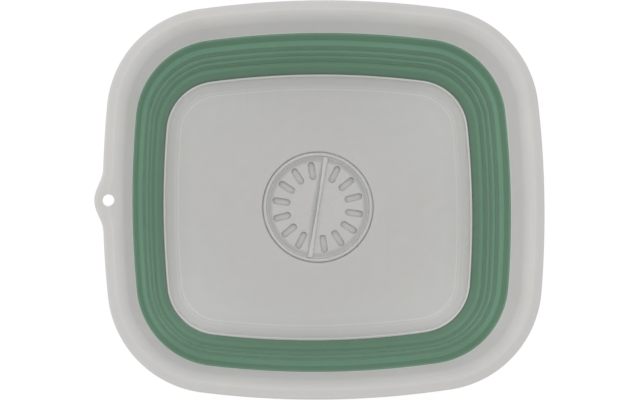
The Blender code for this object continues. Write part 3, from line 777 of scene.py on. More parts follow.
def pad_finish():
    """The grey rubber of the stopper and the pads, with a slightly paler bloom."""
    finish = bpy.context.scene.basin_finish
    bloom = 1.15
    paler = [min(part * bloom, 1) for part in finish.pad]
    look = (finish.pad, paler, finish.pad, finish.pad_gloss)
    return shared_material("grey_pad_rubber", lambda name: rubber(name, *look))


def upward_values(section):
    """How much each point of a closed section faces up: the upward part of its normal, eased."""
    along = np.roll(section, -1, 0) - np.roll(section, 1, 0)
    along /= np.linalg.norm(along, axis=1, keepdims=True)
    up = np.clip(along[:, 0], 0, 1)
    return up * up * (3 - 2 * up)


def wall_piece(name, node, wall, corners, cuts=(), body=None, blend=None):
    """A rubber ring of the folding wall, from the corners of the line that shows, the cuts that round them
    and the rubber's thickness. It rides on a body, or, where a blend is given, has its place baked into its
    mesh and rides on none; the blend's bodies and heights are not used."""
    loop = shell_loop(subdivided(rounded_line(corners, cuts), WALL_LINE_STEP), wall)
    # Painted light: paler where the rubber faces up, and by inset painted shade in the grooves and painted
    # highlights on the folds
    tones = UPWARD_PAINTED_HIGHLIGHT * upward_values(loop) + tones_at(loop[:, 0], RUBBER_PAINTED_LIGHT)
    mesh = grid_mesh(name, carried_round(loop, RING_STEPS), values=tones)
    piece = put_in_scene(name, mesh, green_finish())
    if blend:
        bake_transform(piece)
    else:
        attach(piece, body)
    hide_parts(node)


class BASIN_OT_rim(bpy.types.Operator):
    """Builds the grey rim: skirt, lip with its fine crease, inner wall, and ear with the hanging hole"""

    bl_idname = "basin.add_rim"
    bl_label = "Rim"

    def execute(self, context):
        size = context.scene.basin_rim
        line, back = rim_lines()
        loop = shell_loop(line, size.wall, back)
        inset = loop[:, 0]
        ears = ridge(inset, 0, size.crease_inset + size.shoulder_run)
        points = carried_round(loop, RIM_RING_STEPS, ears)
        pad_half_width = size.ear_half_width * 0.9
        steepness = 2.2
        pad = np.minimum(ridge(points[..., 1], 0, pad_half_width) * steepness, 1)
        pad = pad * (points[..., 0] < AXIS_X)
        pad_inset, pad_fade, lip_depth = 0.006, 0.009, 0.002
        on_lip = ridge(inset, pad_inset, pad_fade) * (loop[:, 1] > RIM_TOP - lip_depth)
        lifted = points[..., 2] + size.ear_flat * pad * on_lip[:, None]
        points[..., 2] = np.minimum(lifted, RIM_TOP)
        # Painted highlights along the rim's outer edge and along its crease
        edge_width = 0.004
        tones = RIM_EDGE_PAINTED_HIGHLIGHT * ridge(inset, 0, edge_width) ** 1.5
        tones += CREASE_PAINTED_HIGHLIGHT * ridge(inset, size.crease_inset, CREASE_HALF)
        mesh = grid_mesh("rim_moulding", points, values=tones)
        piece = put_in_scene("rim_moulding", mesh, rim_finish())
        cut(piece, hole_cutter())
        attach(piece, "rim")
        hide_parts("rim_frame")
        return {"FINISHED"}


def rim_lines():
    """The line that shows, from the skirt's lower edge over the lip and down the wall to its foot, and the
    plainer line that the back follows."""
    outline = bpy.context.scene.basin_outline
    size = bpy.context.scene.basin_rim
    edge_height = RIM_TOP - size.crown
    crease_height = RIM_TOP - size.crease_rise
    turn = arc_points((size.edge_radius, edge_height - size.edge_radius), size.edge_radius, 180, 90, 8)
    skirt = np.concatenate(([(0, RIM_TOP - size.skirt_drop)], turn))
    # The lip rises a little to the fine line along its crease
    lip = rounded_line(
        (
            skirt[-1],
            (size.edge_radius + 0.0012, edge_height + size.crown * 0.25),
            (size.crease_inset - 3 * CREASE_HALF, crease_height - 0.00006),
            (size.crease_inset - CREASE_HALF, crease_height),
            (size.crease_inset, RIM_TOP),
            (size.crease_inset + CREASE_HALF, crease_height - 0.00004),
        ),
        (0.0006, 0.0006, 0.0003, 0.0003),
    )
    # The wall's foot turns in over the rubber and back
    bead = (outline.foot_inset - size.foot_bead, RIM_FOOT + 0.0021)
    foot = ((outline.foot_inset, RIM_FOOT + 0.0009), (outline.foot_inset + 0.0001, RIM_FOOT))
    shoulder = lip_shoulder(lip[-1], bead)
    wall = rounded_line((shoulder[-1], bead, *foot), (0.0006, 0.0003))
    line = np.concatenate((skirt[:-1], lip[:-1], shoulder[:-1], wall))
    back = np.concatenate((skirt, shoulder, foot))
    return subdivided(line, RIM_LINE_STEP), subdivided(back, RIM_LINE_STEP)


def lip_shoulder(start, foot):
    """The lip's soft turn from the crease into the inner wall: a cubic curve that leaves the crease at the
    shoulder's tilt and ends along the wall."""
    size = bpy.context.scene.basin_rim
    stop = start + (size.shoulder_run, -size.shoulder_drop)
    wall = (stop - foot) / np.linalg.norm(stop - foot)
    first_pull, last_pull = 0.42, 0.5
    second = start + size.shoulder_run * first_pull * np.array((1, -math.tan(size.shoulder_tilt)))
    third = stop + wall * size.shoulder_drop * last_pull
    t = np.linspace(0, 1, 22)[:, None]
    return (1 - t) ** 3 * start + 3 * (1 - t) ** 2 * t * second + 3 * (1 - t) * t**2 * third + t**3 * stop


def hole_cutter():
    """A plug turned about the hole's axis, which widens by a quarter circle at the lip's upper face."""
    size = bpy.context.scene.basin_rim
    top = RIM_TOP - size.crown / 2
    clear_below, clear_above, flare = 0.006, 0.004, 0.0004
    low = top - size.wall - clear_below
    high = top + clear_above
    soft = size.hole_rounding
    wide = size.hole_radius + soft
    section = np.concatenate(
        (
            [(0, low), (size.hole_radius, low)],
            arc_points((wide, top - soft), soft, 180, 90, 5),
            [(wide + flare, top + 0.0001), (wide + flare, high), (0, high)],
        )
    )
    end = bpy.context.scene.basin_outline.half_length + size.ear_reach
    return lathed("hole", section, centre=(AXIS_X + size.hole_setback - end, 0))


class BASIN_OT_laps(bpy.types.Operator):
    """Builds the rubber's two bonded edges, under the rim's foot and around the base"""

    bl_idname = "basin.add_laps"
    bl_label = "Bonded edges"

    def execute(self, context):
        outline = context.scene.basin_outline
        size = context.scene.basin_wall
        behind = outline.foot_inset - context.scene.basin_rim.wall - BOND_GAP
        inner = outline.foot_inset + size.lap_shelf
        under = RIM_FOOT - BOND_GAP
        corners = (
            (behind - 0.0007, RIM_FOOT + size.lap_height - size.lap_wall / 2),
            (behind, under),
            (inner, under - 0.0004),
            (inner + 0.0002, under - 0.001),
        )
        wall_piece("rim_bonded_edge", "rim_lap", size.lap_wall, corners, (0.0003, 0.0004), body="rim")
        beside = outline.base_inset - BOND_GAP
        corners = ((beside, BASE_TOP + 0.0002), (beside, BASE_LAP_FOOT + size.lap_wall / 2))
        wall_piece("base_bonded_edge", "base_lap", size.lap_wall, corners, body="base")
        return {"FINISHED"}


class BASIN_OT_bands(bpy.types.Operator):
    """Builds the two stiff bands between the fold webs"""

    bl_idname = "basin.add_bands"
    bl_label = "Stiff bands"

    def execute(self, context):
        size = context.scene.basin_wall
        bands = (
            ("upper_stiff_band", "upper_band", "upper_ring", size.upper_band, UPPER_TOP, UPPER_FOOT),
            ("lower_stiff_band", "lower_band", "lower_ring", size.lower_band, LOWER_TOP, LOWER_FOOT),
        )
        for name, node, body, inset, top, foot in bands:
            high = top + size.shelf_lift * 0.35
            corners = (
                (inset - 0.0018, high),
                (inset - 0.0003, high),
                (inset + size.band_run * 0.4, (top + foot) / 2),
                (inset + size.band_run, foot + 0.0004),
            )
            wall_piece(name, node, size.band_wall, corners, (0.0009, 0.0035), body=body)
        return {"FINISHED"}


class BASIN_OT_webs(bpy.types.Operator):
    """Builds the three thin webs that turn inside out when the basin folds"""

    bl_idname = "basin.add_webs"
    bl_label = "Fold webs"

    def execute(self, context):
        size = context.scene.basin_wall
        start = context.scene.basin_outline.foot_inset + size.lap_shelf
        shelf = UPPER_TOP + size.shelf_lift
        high = RIM_FOOT - BOND_GAP - size.lap_wall
        # Each web hangs from the ring above it and ends in a shelf on the ring below it
        corners = (
            (start + 0.0001, high + 0.0008),
            (start + 0.0002, high - 0.001),
            (start + 0.0026, shelf + 0.0002),
            (size.upper_band + 0.0003, shelf - 0.0001),
            (size.upper_band - 0.0003, shelf - 0.0045),
        )
        blend = ("upper_ring", "rim", shelf + 0.0006, high - 0.0006)
        cuts = (0.0008, 0.0024, 0.0016)
        wall_piece("upper_fold_web", "upper_web", size.web_wall, corners, cuts, blend=blend)

        start = size.upper_band + size.band_run - TUCK
        shelf = LOWER_TOP + size.shelf_lift
        corners = (
            (start, UPPER_FOOT + TUCK),
            (start + 0.0024, UPPER_FOOT - 0.0002),
            (start + 0.0027, shelf + 0.0002),
            (size.lower_band + 0.0003, shelf - 0.0001),
            (size.lower_band - 0.0003, shelf - 0.0035),
        )
        blend = ("lower_ring", "upper_ring", shelf + 0.0006, UPPER_FOOT - 0.001)
        cuts = (0.0012, 0.001, 0.0009)
        wall_piece("middle_fold_web", "middle_web", size.web_wall, corners, cuts, blend=blend)

        start = size.lower_band + size.band_run - TUCK
        stop = context.scene.basin_outline.base_inset - 0.0001
        corners = (
            (start, LOWER_FOOT + TUCK),
            (start + 0.0034, LOWER_FOOT - 0.0003),
            (start + 0.0048, LOWER_FOOT - 0.0042),
            (stop - 0.0014, BASE_TOP + 0.0075),
            (stop, BASE_TOP + 0.0012),
            (stop, BASE_TOP - 0.0006),
        )
        blend = ("base", "lower_ring", BASE_TOP + 0.0003, LOWER_FOOT - 0.0012)
        cuts = (0.0018, 0.002, 0.003, 0.0012)
        wall_piece("lower_fold_web", "lower_web", size.web_wall, corners, cuts, blend=blend)
        return {"FINISHED"}


class BASIN_OT_base(bpy.types.Operator):
    """Builds the grey base: edge, cove, raised floor, drain seat, sump and outlet, and the bosses and ribs
    under it"""

    bl_idname = "basin.add_base"
    bl_label = "Base pan"

    def execute(self, context):
        size = context.scene.basin_pan
        inset = context.scene.basin_outline.base_inset
        line, cove_line_painted_tones = cove_line()
        drain, drain_painted_tones = drain_line()
        inwards = carried_round(line, RING_STEPS)
        x, y = (inwards[-1] - (AXIS_X, 0, 0)).T[:2]
        bearings = np.arctan2(y, x)
        blend = np.linspace(0, 1, 8)[1:-1, None]
        radii = np.hypot(x, y) * (1 - blend) + drain[0, 0] * blend

        under_floor = size.floor_height - size.wall
        under_drain = drain[1:] - size.wall * normals_of(drain)[1:]
        under_drain[:, 1] = np.minimum(under_drain[:, 1], under_floor)
        under_line = (line - size.wall * normals_of(line))[2:]
        edge_foot = BASE_TOP - 0.002
        under_line = under_line[under_line[:, 1] < edge_foot]
        outside = ((inset, under_line[0, 1]), (inset, BASE_TOP - CREST_DEPTH))
        half, rise = size.wall / 2, 0.0007
        crest = arc_points((inset + half, BASE_TOP - rise), (half, rise), 180, 0, 10)[1:-1]
        outwards = np.concatenate((under_line[::-1], outside, crest))
        rows = (
            inwards,
            circled(radii, size.floor_height, bearings),
            turned(drain, bearings),
            turned(under_drain[::-1], bearings),
            circled(radii[::-1], under_floor, bearings),
            carried_round(outwards, RING_STEPS),
        )
        points = np.concatenate(rows)
        # Painted light carried as tones: painted shade in the cove and the seat, painted highlights on the
        # edge, the foot line and the crest
        tones = np.zeros(len(points))
        tones[: len(line)] = cove_line_painted_tones
        before_drain = len(line) + len(radii)
        tones[before_drain : before_drain + len(drain)] = drain_painted_tones
        tones[-len(crest) :] = BASE_EDGE_PAINTED_HIGHLIGHT
        shell = grid_mesh("base_moulding", points, values=tones)
        mesh = joined("base_moulding", [shell, *foot_bosses(), *floor_ribs()])
        piece = put_in_scene("base_moulding", mesh, base_finish())
        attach(piece, "base")
        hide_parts("base_pan")
        return {"FINISHED"}


def cove_line():
    """The base's shown line from its edge down the cove, a part of an ellipse, over the groove and up a step
    to the floor, with its tones: a painted highlight on the edge and the foot line, and painted shade in the
    cove between them."""
    size = bpy.context.scene.basin_pan
    edge = bpy.context.scene.basin_outline.base_inset + size.wall
    cove_start = edge + size.edge_run
    cove_top = BASE_TOP - size.edge_depth
    groove = cove_start + size.cove_run
    groove_height = size.floor_height - size.step
    floor_start = groove + size.groove + size.step * 2
    step_corners = (
        (groove + size.groove * 0.4, groove_height),
        (groove + size.groove, groove_height),
        (floor_start, size.floor_height),
        (floor_start + 0.0016, size.floor_height),
    )
    line = np.concatenate(
        (
            [(edge, BASE_TOP - CREST_DEPTH), (edge, BASE_TOP - 2 * CREST_DEPTH)],
            arc_points((groove, cove_top), (size.cove_run, cove_top - groove_height), 180, 268, 20),
            rounded_line(step_corners, (0.0003, 0.0004), 4),
        )
    )
    # Painted highlights on the foot line and the edge, painted shade in the cove
    foot_reach, edge_reach = 0.0009, 0.0012
    foot_painted_highlight = ridge(line[:, 0], floor_start, foot_reach)
    edge_painted_highlight = BASE_EDGE_PAINTED_HIGHLIGHT * ridge(line[:, 1], BASE_TOP, edge_reach)
    return line, foot_painted_highlight + edge_painted_highlight + tones_at(line[:, 0] - cove_start, BASE_COVE_PAINTED_SHADE)


def drain_line():
    """Radii and heights from the floor over the drain's seat, ledge and sump into the outlet, with tones
    that paint a little shade on the seat and its ledge."""
    size = bpy.context.scene.basin_pan
    floor = size.floor_height
    ledge = floor - size.seat_depth
    ledge_inner = size.seat_radius - size.ledge
    sump = ledge - size.sump_depth
    line = rounded_line(
        (
            (size.seat_radius + 0.0024, floor),
            (size.seat_radius, floor),
            (size.seat_radius, ledge),
            (ledge_inner, ledge),
            (ledge_inner - size.sump_run, sump),
            (size.outlet_radius + size.outlet_flare, sump),
            (size.outlet_radius, sump - size.outlet_flare),
            (size.outlet_radius, sump - size.outlet_drop + 0.0005),
        ),
        (0.0021, 0.0003, 0.0006, 0.0012, 0.0005, 0.0004),
        8,
    )
    # Painted shade on the seat's wall and ledge
    full_depth = 0.0004
    sunk = np.clip((floor - line[:, 1]) / full_depth, 0, 1)
    return line, SEAT_PAINTED_SHADE * sunk * (line[:, 0] >= ledge_inner)


def foot_places():
    """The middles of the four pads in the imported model."""
    boxes = [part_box(f"foot_pad_{number}") for number in range(1, 5)]
    return [((low.x + high.x) / 2, (low.y + high.y) / 2) for low, high in boxes]


def foot_bosses():
    """Four tubes, turned from a closed section with rounded lower edges."""
    size = bpy.context.scene.basin_pan
    outer = size.boss_radius
    inner = outer - size.boss_wall
    middle = (inner + outer) / 2
    high = size.floor_height - size.wall / 2
    low = size.boss_height
    corners = ((middle, high), (inner, high), (inner, low), (outer, low), (outer, high), (middle, high))
    section = rounded_line(corners, (0.0002, 0.0004, 0.0006, 0.0002))[:-1]
    return [lathed("boss", section, centre=centre, closed=True) for centre in foot_places()]


def floor_ribs():
    """Four bars along the floor's diagonals, from the drain's seat to the bosses: a section with rounded
    lower edges at two stations, each closed by drawing it in to its middle."""
    size = bpy.context.scene.basin_pan
    half = size.rib_width / 2
    high = size.floor_height - size.wall / 2
    low = size.floor_height - size.wall - size.rib_depth
    corners = ((0, high), (half, high), (half, low), (-half, low), (-half, high), (0, high))
    section = rounded_line(corners, (0.0001, 0.0006, 0.0006, 0.0001))[:-1]
    middle = np.broadcast_to((0, (high + low) / 2), section.shape)
    beside, height = np.moveaxis(np.stack((middle, section, section, middle)), -1, 0)
    ribs = []
    for x, y in foot_places():
        start = size.seat_radius + 0.001
        stop = math.hypot(x - AXIS_X, y) - size.boss_radius + size.boss_wall / 2
        along = np.broadcast_to(np.array((start, start, stop, stop))[:, None], beside.shape)
        points = swung(np.stack((along, beside, height), -1), math.atan2(y, x - AXIS_X))
        ribs.append(welded(grid_mesh("rib", points, close_section=False)))
    return ribs


class BASIN_OT_strainer(bpy.types.Operator):
    """Builds the strainer: ring, coved dish, slots in two fans and grip bar with its scooped flank"""

    bl_idname = "basin.add_strainer"
    bl_label = "Strainer"

    def execute(self, context):
        size = context.scene.basin_strainer
        radius = STRAINER_HIGH.x - AXIS_X
        ring_inner = radius - size.ring_width
        dish = ring_inner - size.cove_run
        edge = STRAINER_TOP - size.dish_drop
        soft = size.ring_rounding
        high = STRAINER_TOP - soft
        radii = np.linspace(0, dish, 48)
        upper = np.concatenate(
            (
                np.column_stack((radii, dish_height(radii / dish))),
                arc_points((dish, high), (size.cove_run, high - edge), 272, 352, 14),
            )
        )
        ring = np.concatenate(
            (
                arc_points((ring_inner + soft, high), soft, 170, 90, 6),
                arc_points((radius - soft, high), soft, 90, 0, 6),
            )
        )
        pan = context.scene.basin_pan
        foot = STRAINER_TOP - RING_PROUD - pan.seat_depth + BOND_GAP
        corners = (
            (radius, foot + 0.001),
            (radius, foot),
            (pan.seat_radius - pan.ledge - 0.0009, foot),
            (dish + size.wall, edge - size.wall),
            (dish * 2 / 3, edge - size.dish_sag / 2 - size.wall),
            (0, edge - size.dish_sag - size.wall),
        )
        back = rounded_line(corners, (0.0003, 0.0003, 0.0012, 0.004))
        # Painted shade in the dish's cove, and on the ring a painted highlight that turns to painted shade
        # down its outer flank
        flank_start, flank_stop = radius - 0.0012, radius - 0.0004
        dish_cove_painted_tones = tones_at(ring_inner - upper[:, 0], DISH_COVE_PAINTED_SHADE)
        ring_painted_tones = np.interp(ring[:, 0], (flank_start, flank_stop), RING_PAINTED_LIGHT)
        tones = np.concatenate((dish_cove_painted_tones, ring_painted_tones, np.zeros(len(back))))
        mesh = lathed("strainer_dish", np.concatenate((upper, ring, back)), ROUND, values=tones)
        piece = put_in_scene("strainer_dish", mesh, strainer_finish())
        direction = math.pi / 2 + size.grip_tilt
        cut(piece, joined("slots", slot_cutters(direction, dish)))
        bar = grip_bar(direction, dish, ring_inner - BAR_SHORT)
        grip = put_in_scene("strainer_grip_bar", bar, piece.data.materials[0])
        for part in (piece, grip):
            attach(part, "strainer")
        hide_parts("drain_strainer")
        return {"FINISHED"}


def dish_height(place):
    """The height of the dish's upper face, where place is the radius over the dish's own: it falls with the
    square of the place from its edge to its middle."""
    size = bpy.context.scene.basin_strainer
    return STRAINER_TOP - size.dish_drop - size.dish_sag * (1 - place**2)


def slot_cutters(direction, dish):
    """Upright slots with round ends: the outline of a bar with half-circle ends, which widens by a quarter
    circle at the dish's upper face, at evenly spaced bearings on each side of the bar."""
    size = bpy.context.scene.basin_strainer
    half = size.slot_half_width
    soft = size.slot_rounding
    outer = dish - size.slot_edge - half
    inner = outer - size.slot_length + 2 * half
    turn = np.radians(np.linspace(-90, 90, 13))
    around = np.concatenate((turn, turn + math.pi))
    middle = np.repeat((outer, inner), len(turn))
    flare = np.radians(np.linspace(0, 90, 6))
    low, high = SLOT_REACH
    # From below: the slot's own width, a quarter circle outwards at the face, and a cap over it
    wide = half + np.concatenate(([0, 0], soft * (1 - np.cos(flare)), [soft + 0.0002, 0]))[:, None]
    drop = np.concatenate(([low, -0.0035], -soft * (1 - np.sin(flare)), [0.0006, high]))[:, None]
    z = dish_height((middle + half * np.cos(around)) / dish) + drop
    z[[0, -1]] = dish_height(1) + np.array(((low,), (high,)))
    slot = np.stack((middle + wide * np.cos(around), wide * np.sin(around), z), -1)
    slot = np.concatenate((slot[:1], slot, slot[-1:]))
    slot[[0, -1], :, :2] = ((inner + outer) / 2, 0)
    pitch = (math.pi - 2 * size.slot_clear) / (size.slots - 1)
    cutters = []
    for number in range(2 * size.slots):
        side, step = divmod(number, size.slots)
        points = swung(slot, direction + side * math.pi + size.slot_clear + step * pitch)
        # The cutters' tones put painted shade on the slots' walls
        cutters.append(welded(grid_mesh("slot", points, close_section=False, values=SLOT_PAINTED_SHADE)))
    return cutters


def grip_bar(direction, dish, reach):
    """The bar's section, carried from side to side of the ring. Its crest is narrowest at the middle. One
    flank drops steeply with a small fillet. The other is a quarter ellipse whose width follows one minus the
    square of the place along the bar, so that it is a scoop at the middle and closes to a fillet at the
    ends."""
    size = bpy.context.scene.basin_strainer
    fillet = size.grip_fillet
    soft, sunk, thickness = 0.00045, 0.00015, 0.0008
    along = np.linspace(-1, 1, 61)[:, None]
    waist = size.grip_waist + (size.grip_half_width - size.grip_waist) * np.abs(along) ** 1.5
    scoop = fillet + (size.grip_scoop - fillet) * (1 - along**2) ** 1.2
    high = STRAINER_TOP - size.grip_down - soft
    floor = dish_height(np.minimum(np.abs(along) * reach / dish, 1)) - sunk
    under = floor - thickness
    # Each part's tone, places across the bar and heights: crest, fillet, underside, scoop and crest again.
    # The tones are painted light: painted highlights on the crests and the fillet, painted shade down the
    # scoop.
    scoop_painted_shade = -0.9 * (1 - along**2) ** 1.5 * np.cos(np.radians(np.linspace(270, 360, 14)))
    parts = (
        (0.45, *arcs_along(waist - soft, high, soft, soft, 90, 0, 6)),
        (0.5, *arcs_along(waist + fillet, floor + fillet, fillet, fillet, 180, 270, 8)),
        (0, waist + fillet, under),
        (0, -waist - scoop, under),
        (scoop_painted_shade, *arcs_along(-waist - scoop, high, scoop, high - floor, 270, 360, 14)),
        (0.6, *arcs_along(soft - waist, high, soft, soft, 180, 90, 6)),
    )
    tones = np.hstack([np.broadcast_to(tone, across.shape) for tone, across, height in parts])
    across, height = (np.hstack([part[number] for part in parts]) for number in (1, 2))
    place = np.broadcast_to(along * reach, across.shape)
    points = swung(np.stack((place, -across, height), -1), direction)
    ends = np.repeat(points[[0, -1]].mean(1, keepdims=True), points.shape[1], 1)
    points = np.concatenate((ends[:1], points, ends[1:]))
    tones = np.concatenate((tones[:1], tones, tones[-1:]))
    return welded(grid_mesh("strainer_grip_bar", points, close_section=False, values=tones))


def arcs_along(across, height, half_width, half_height, start, stop, count):
    """An ellipse's arc at each station of the bar: its middle, plus its half axes times the cosine and the
    sine of angles from start to stop, in degrees."""
    turn = np.radians(np.linspace(start, stop, count))
    return np.broadcast_arrays(across + half_width * np.cos(turn), height + half_height * np.sin(turn))


def turned_pad(name, corners, cuts, centre=(AXIS_X, 0.0)):
    """A piece of grey rubber, turned about an upright axis from its corners."""
    mesh = lathed(name, rounded_line(corners, cuts, 4), centre=centre)
    return put_in_scene(name, mesh, pad_finish())


class BASIN_OT_stopper(bpy.types.Operator):
    """Builds the rubber stopper under the strainer"""

    bl_idname = "basin.add_stopper"
    bl_label = "Stopper"

    def execute(self, context):
        low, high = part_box("drain_stopper")
        flange = (high.x - low.x) / 2
        neck = 0.006
        plug = context.scene.basin_pan.outlet_radius - 0.001
        seat = low.z + 0.0021
        top = seat + 0.0012
        corners = (
            (0, high.z),
            (neck, high.z),
            (neck, top),
            (flange, top),
            (flange, seat),
            (plug, seat),
            (plug - 0.0003, low.z),
            (0, low.z),
        )
        piece = turned_pad("drain_plug", corners, (0.0004, 0.0006, 0.0004, 0.0003, 0.0002, 0.0006))
        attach(piece, "strainer")
        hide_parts("drain_stopper")
        return {"FINISHED"}


class BASIN_OT_feet(bpy.types.Operator):
    """Builds the four rubber pads pressed into the bosses under the floor"""

    bl_idname = "basin.add_feet"
    bl_label = "Feet"

    def execute(self, context):
        pan = context.scene.basin_pan
        stem = pan.boss_radius - pan.boss_wall - BOND_GAP
        for number, centre in enumerate(foot_places(), 1):
            low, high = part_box(f"foot_pad_{number}")
            radius = (high.x - low.x) / 2
            seat = high.z - 0.0038
            # A stem in the boss, a wider sole, and a fine ring groove under it
            corners = (
                (0, high.z),
                (stem, high.z),
                (stem, seat),
                (radius, seat),
                (radius, 0),
                (radius * 0.62, 0),
                (radius * 0.56, 0.0005),
                (radius * 0.5, 0),
                (0, 0),
            )
            cuts = (0.0005, 0.0003, 0.0003, 0.0006, 0.0004, 0.0004, 0.0004)
            piece = turned_pad(f"rubber_foot_{number}", corners, cuts, centre)
            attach(piece, "base")
            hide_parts(f"foot_pad_{number}")
        return {"FINISHED"}


class BASIN_OT_stage(bpy.types.Operator):
    """Builds the pale floor, the soft studio light and the camera over the basin"""

    bl_idname = "basin.add_stage"
    bl_label = "Stage"

    def execute(self, context):
        scene = context.scene
        size = scene.basin_stage
        add_floor(size)
        light_world(scene, size)
        add_lamp("key_lamp", *KEY_LAMP, size.key_power)
        add_lamp("side_lamp", *SIDE_LAMP, size.side_power)
        add_fill(size)
        add_camera(scene, size)
        scene.view_settings.view_transform = "Standard"
        return {"FINISHED"}


def camera_switch(tree, lighting, shown):
    """A shader that lights the scene in one way and looks another way to the camera."""
    path = tree.nodes.new("ShaderNodeLightPath")
    switch = tree.nodes.new("ShaderNodeMixShader")
    for socket, value in zip(switch.inputs, (path.outputs["Is Camera Ray"], lighting, shown)):
        tree.links.new(value, socket)
    return switch.outputs[0]


def add_floor(size):
    """A flat square, 12 m wide, a hair below the feet. The camera sees it almost white, from its own glow,
    with the object's shadow on a matt part."""
    across = np.linspace(-6, 6, 13)
    x, y = np.meshgrid(across, across)
    points = np.stack((x.T, y.T, np.full_like(x, -FLOOR_DROP)), -1)
    floor = linked("studio_floor", grid_mesh("studio_floor", points, close_section=False, close_ring=False))
    material = bpy.data.materials.new("pale_studio_floor")
    material.use_nodes = True
    tree = material.node_tree
    shader = shaded(tree, Base_Color=size.floor, Roughness=0.9, Specular_IOR_Level=0.1)
    glow = new_node(tree, "ShaderNodeEmission", Color=(1, 1, 1), Strength=size.floor_glow)
    matt = new_node(tree, "ShaderNodeBsdfDiffuse", Color=[size.floor_matt] * 3)
    both = tree.nodes.new("ShaderNodeAddShader")
    tree.links.new(glow.outputs[0], both.inputs[0])
    tree.links.new(matt.outputs[0], both.inputs[1])
    seen = camera_switch(tree, shader.outputs[0], both.outputs[0])
    tree.links.new(seen, tree.nodes["Material Output"].inputs["Surface"])
    floor.data.materials.append(material)


def light_world(scene, size):
    """Even light from all around, and plain white where the camera sees past the floor."""
    scene.world = bpy.data.worlds.new("studio_surroundings")
    scene.world.use_nodes = True
    tree = scene.world.node_tree
    around = fed(tree, tree.nodes["Background"], Color=(1, 1, 1), Strength=size.ambient)
    white = new_node(tree, "ShaderNodeBackground", Color=(1, 1, 1), Strength=1.0)
    seen = camera_switch(tree, around.outputs[0], white.outputs[0])
    tree.links.new(seen, tree.nodes["World Output"].inputs["Surface"])


def add_lamp(name, place, width, power):
    """A round soft lamp that looks at the basin's middle."""
    lamp = bpy.data.lights.new(name, "AREA")
    lamp.shape = "DISK"
    lamp.size = width
    lamp.energy = power
    stand = linked(name, lamp)
    stand.location = place
    stand.rotation_euler = look_rotation(np.array(LAMP_AIM) - place, (0, 1, 0))


def add_fill(size):
    """A spot high over the mouth, flagged to a rounded rectangle and weak in its middle, which brightens the
    walls and the floor's edges. With u and v the place in the field over its half length and half width, the
    field ends where the fourth root of u to the fourth plus v to the fourth nears one, and it is weaker past
    a line near the camera's side."""
    lamp = bpy.data.lights.new("fill_lamp", "SPOT")
    lamp.energy = size.fill_power
    lamp.shadow_soft_size = 0.01
    lamp.spot_size = 2 * math.atan(1.6 * size.fill_half_length / size.fill_height)
    lamp.spot_blend = 0.0
    lamp.use_nodes = True
    tree = lamp.node_tree
    beam = new_node(tree, "ShaderNodeTexCoord").outputs["Normal"]
    axes = new_node(tree, "ShaderNodeSeparateXYZ", Vector=beam).outputs
    u, v = (
        computed(tree, "MULTIPLY", computed(tree, "DIVIDE", axes[axis], axes["Z"]), -size.fill_height / half)
        for axis, half in (("X", size.fill_half_length), ("Y", size.fill_half_width))
    )
    # A narrow soft border, then from 0.12 in the middle up to 1, and down to 0.58 on the camera's side
    inside = mapped(tree, sum_of_powers(tree, (u, v), 4.0, 0.25), 1.07, 0.99)
    rising = mapped(tree, sum_of_powers(tree, (u, v), 2.0, 1.6), 0.0, 0.92, 0.12, 1.0)
    near_side = mapped(tree, v, -0.74, -0.8, 1.0, 0.58)
    strength = computed(tree, "MULTIPLY", inside, computed(tree, "MULTIPLY", rising, near_side))
    tree.links.new(strength, tree.nodes["Emission"].inputs["Strength"])
    stand = linked("fill_lamp", lamp)
    stand.location = (AXIS_X, 0, RIM_TOP + size.fill_height)
    stand.visible_camera = False
    stand.visible_glossy = False


def sum_of_powers(tree, values, power, root):
    """The values' sizes raised to a power, added up, and raised to a root."""
    terms = [computed(tree, "POWER", computed(tree, "ABSOLUTE", value), power) for value in values]
    return computed(tree, "POWER", computed(tree, "ADD", *terms), root)


def add_camera(scene, size):
    """A view camera over the rim. It turns only a part of the way from straight down towards its aim, and
    its film is shifted by the rest, so that the aimed point lies in the middle: that point's place in the
    camera's own axes, over its distance along the line of sight."""
    data = bpy.data.cameras.new("overhead_camera")
    data.lens = size.lens
    data.sensor_width = 36
    camera = linked("overhead_camera", data)
    camera.location = (AXIS_X + size.camera_x, size.camera_y, RIM_TOP + size.camera_height)
    way = np.array((size.aim_x - size.camera_x, size.aim_y - size.camera_y, -size.camera_height))
    up = (math.sin(size.roll), math.cos(size.roll), 0)
    camera.rotation_euler = look_rotation(way * (size.tilt, size.tilt, 1), up)
    aimed = np.array(camera.rotation_euler.to_matrix()).T @ way
    data.shift_x, data.shift_y = aimed[:2] * size.lens / data.sensor_width / -aimed[2]
    scene.camera = camera


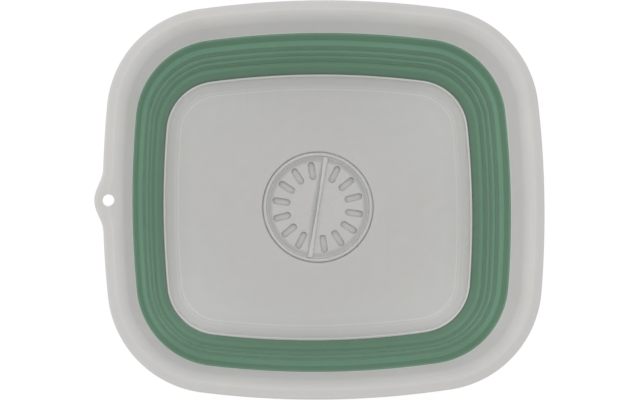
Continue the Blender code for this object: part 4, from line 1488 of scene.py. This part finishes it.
def look_rotation(aim, up):
    """The turn that points an object's -Z along an aim with its +Y near an up direction: -Z, then X square
    to both, then Y square to those."""
    back = -np.asarray(aim, float) / np.linalg.norm(aim)
    right = np.cross(up, back)
    right /= np.linalg.norm(right)
    top = np.cross(back, right)
    return Matrix(np.column_stack((right, top, back)).tolist()).to_euler()


class BASIN_PT_panel(bpy.types.Panel):
    """Lists the steps that build the basin, with their sizes"""

    bl_idname = "BASIN_PT_panel"
    bl_label = "Collapsible Wash Basin"
    bl_space_type = "VIEW_3D"
    bl_region_type = "UI"
    bl_category = "Basin"

    def draw(self, context):
        layout = self.layout
        for kind in OPERATORS:
            layout.operator(kind.bl_idname)
        for key, kind in GROUPS.items():
            box = layout.box()
            box.label(text=key.replace("_", " ").capitalize())
            group = getattr(context.scene, key)
            for name in kind.__annotations__:
                box.prop(group, name)


OPERATORS = (
    BASIN_OT_rim,
    BASIN_OT_laps,
    BASIN_OT_bands,
    BASIN_OT_webs,
    BASIN_OT_base,
    BASIN_OT_strainer,
    BASIN_OT_stopper,
    BASIN_OT_feet,
    BASIN_OT_stage,
)

GROUPS = {
    "basin_outline": BasinOutline,
    "basin_rim": RimSizes,
    "basin_wall": WallSizes,
    "basin_pan": PanSizes,
    "basin_strainer": StrainerSizes,
    "basin_finish": BasinFinishes,
    "basin_stage": StageSettings,
}


def register():
    """Adds the property groups, the operators and the panel."""
    for key, kind in GROUPS.items():
        bpy.utils.register_class(kind)
        setattr(bpy.types.Scene, key, bpy.props.PointerProperty(type=kind))
    for kind in OPERATORS:
        bpy.utils.register_class(kind)
    bpy.utils.register_class(BASIN_PT_panel)


def unregister():
    """Takes them away again."""
    bpy.utils.unregister_class(BASIN_PT_panel)
    for kind in reversed(OPERATORS):
        bpy.utils.unregister_class(kind)
    for key, kind in reversed(GROUPS.items()):
        delattr(bpy.types.Scene, key)
        bpy.utils.unregister_class(kind)


def main():
    """Builds everything."""
    register()
    for kind in OPERATORS:
        getattr(bpy.ops.basin, kind.bl_idname.split(".")[1])()
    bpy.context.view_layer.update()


if __name__ == "__main__":
    main()
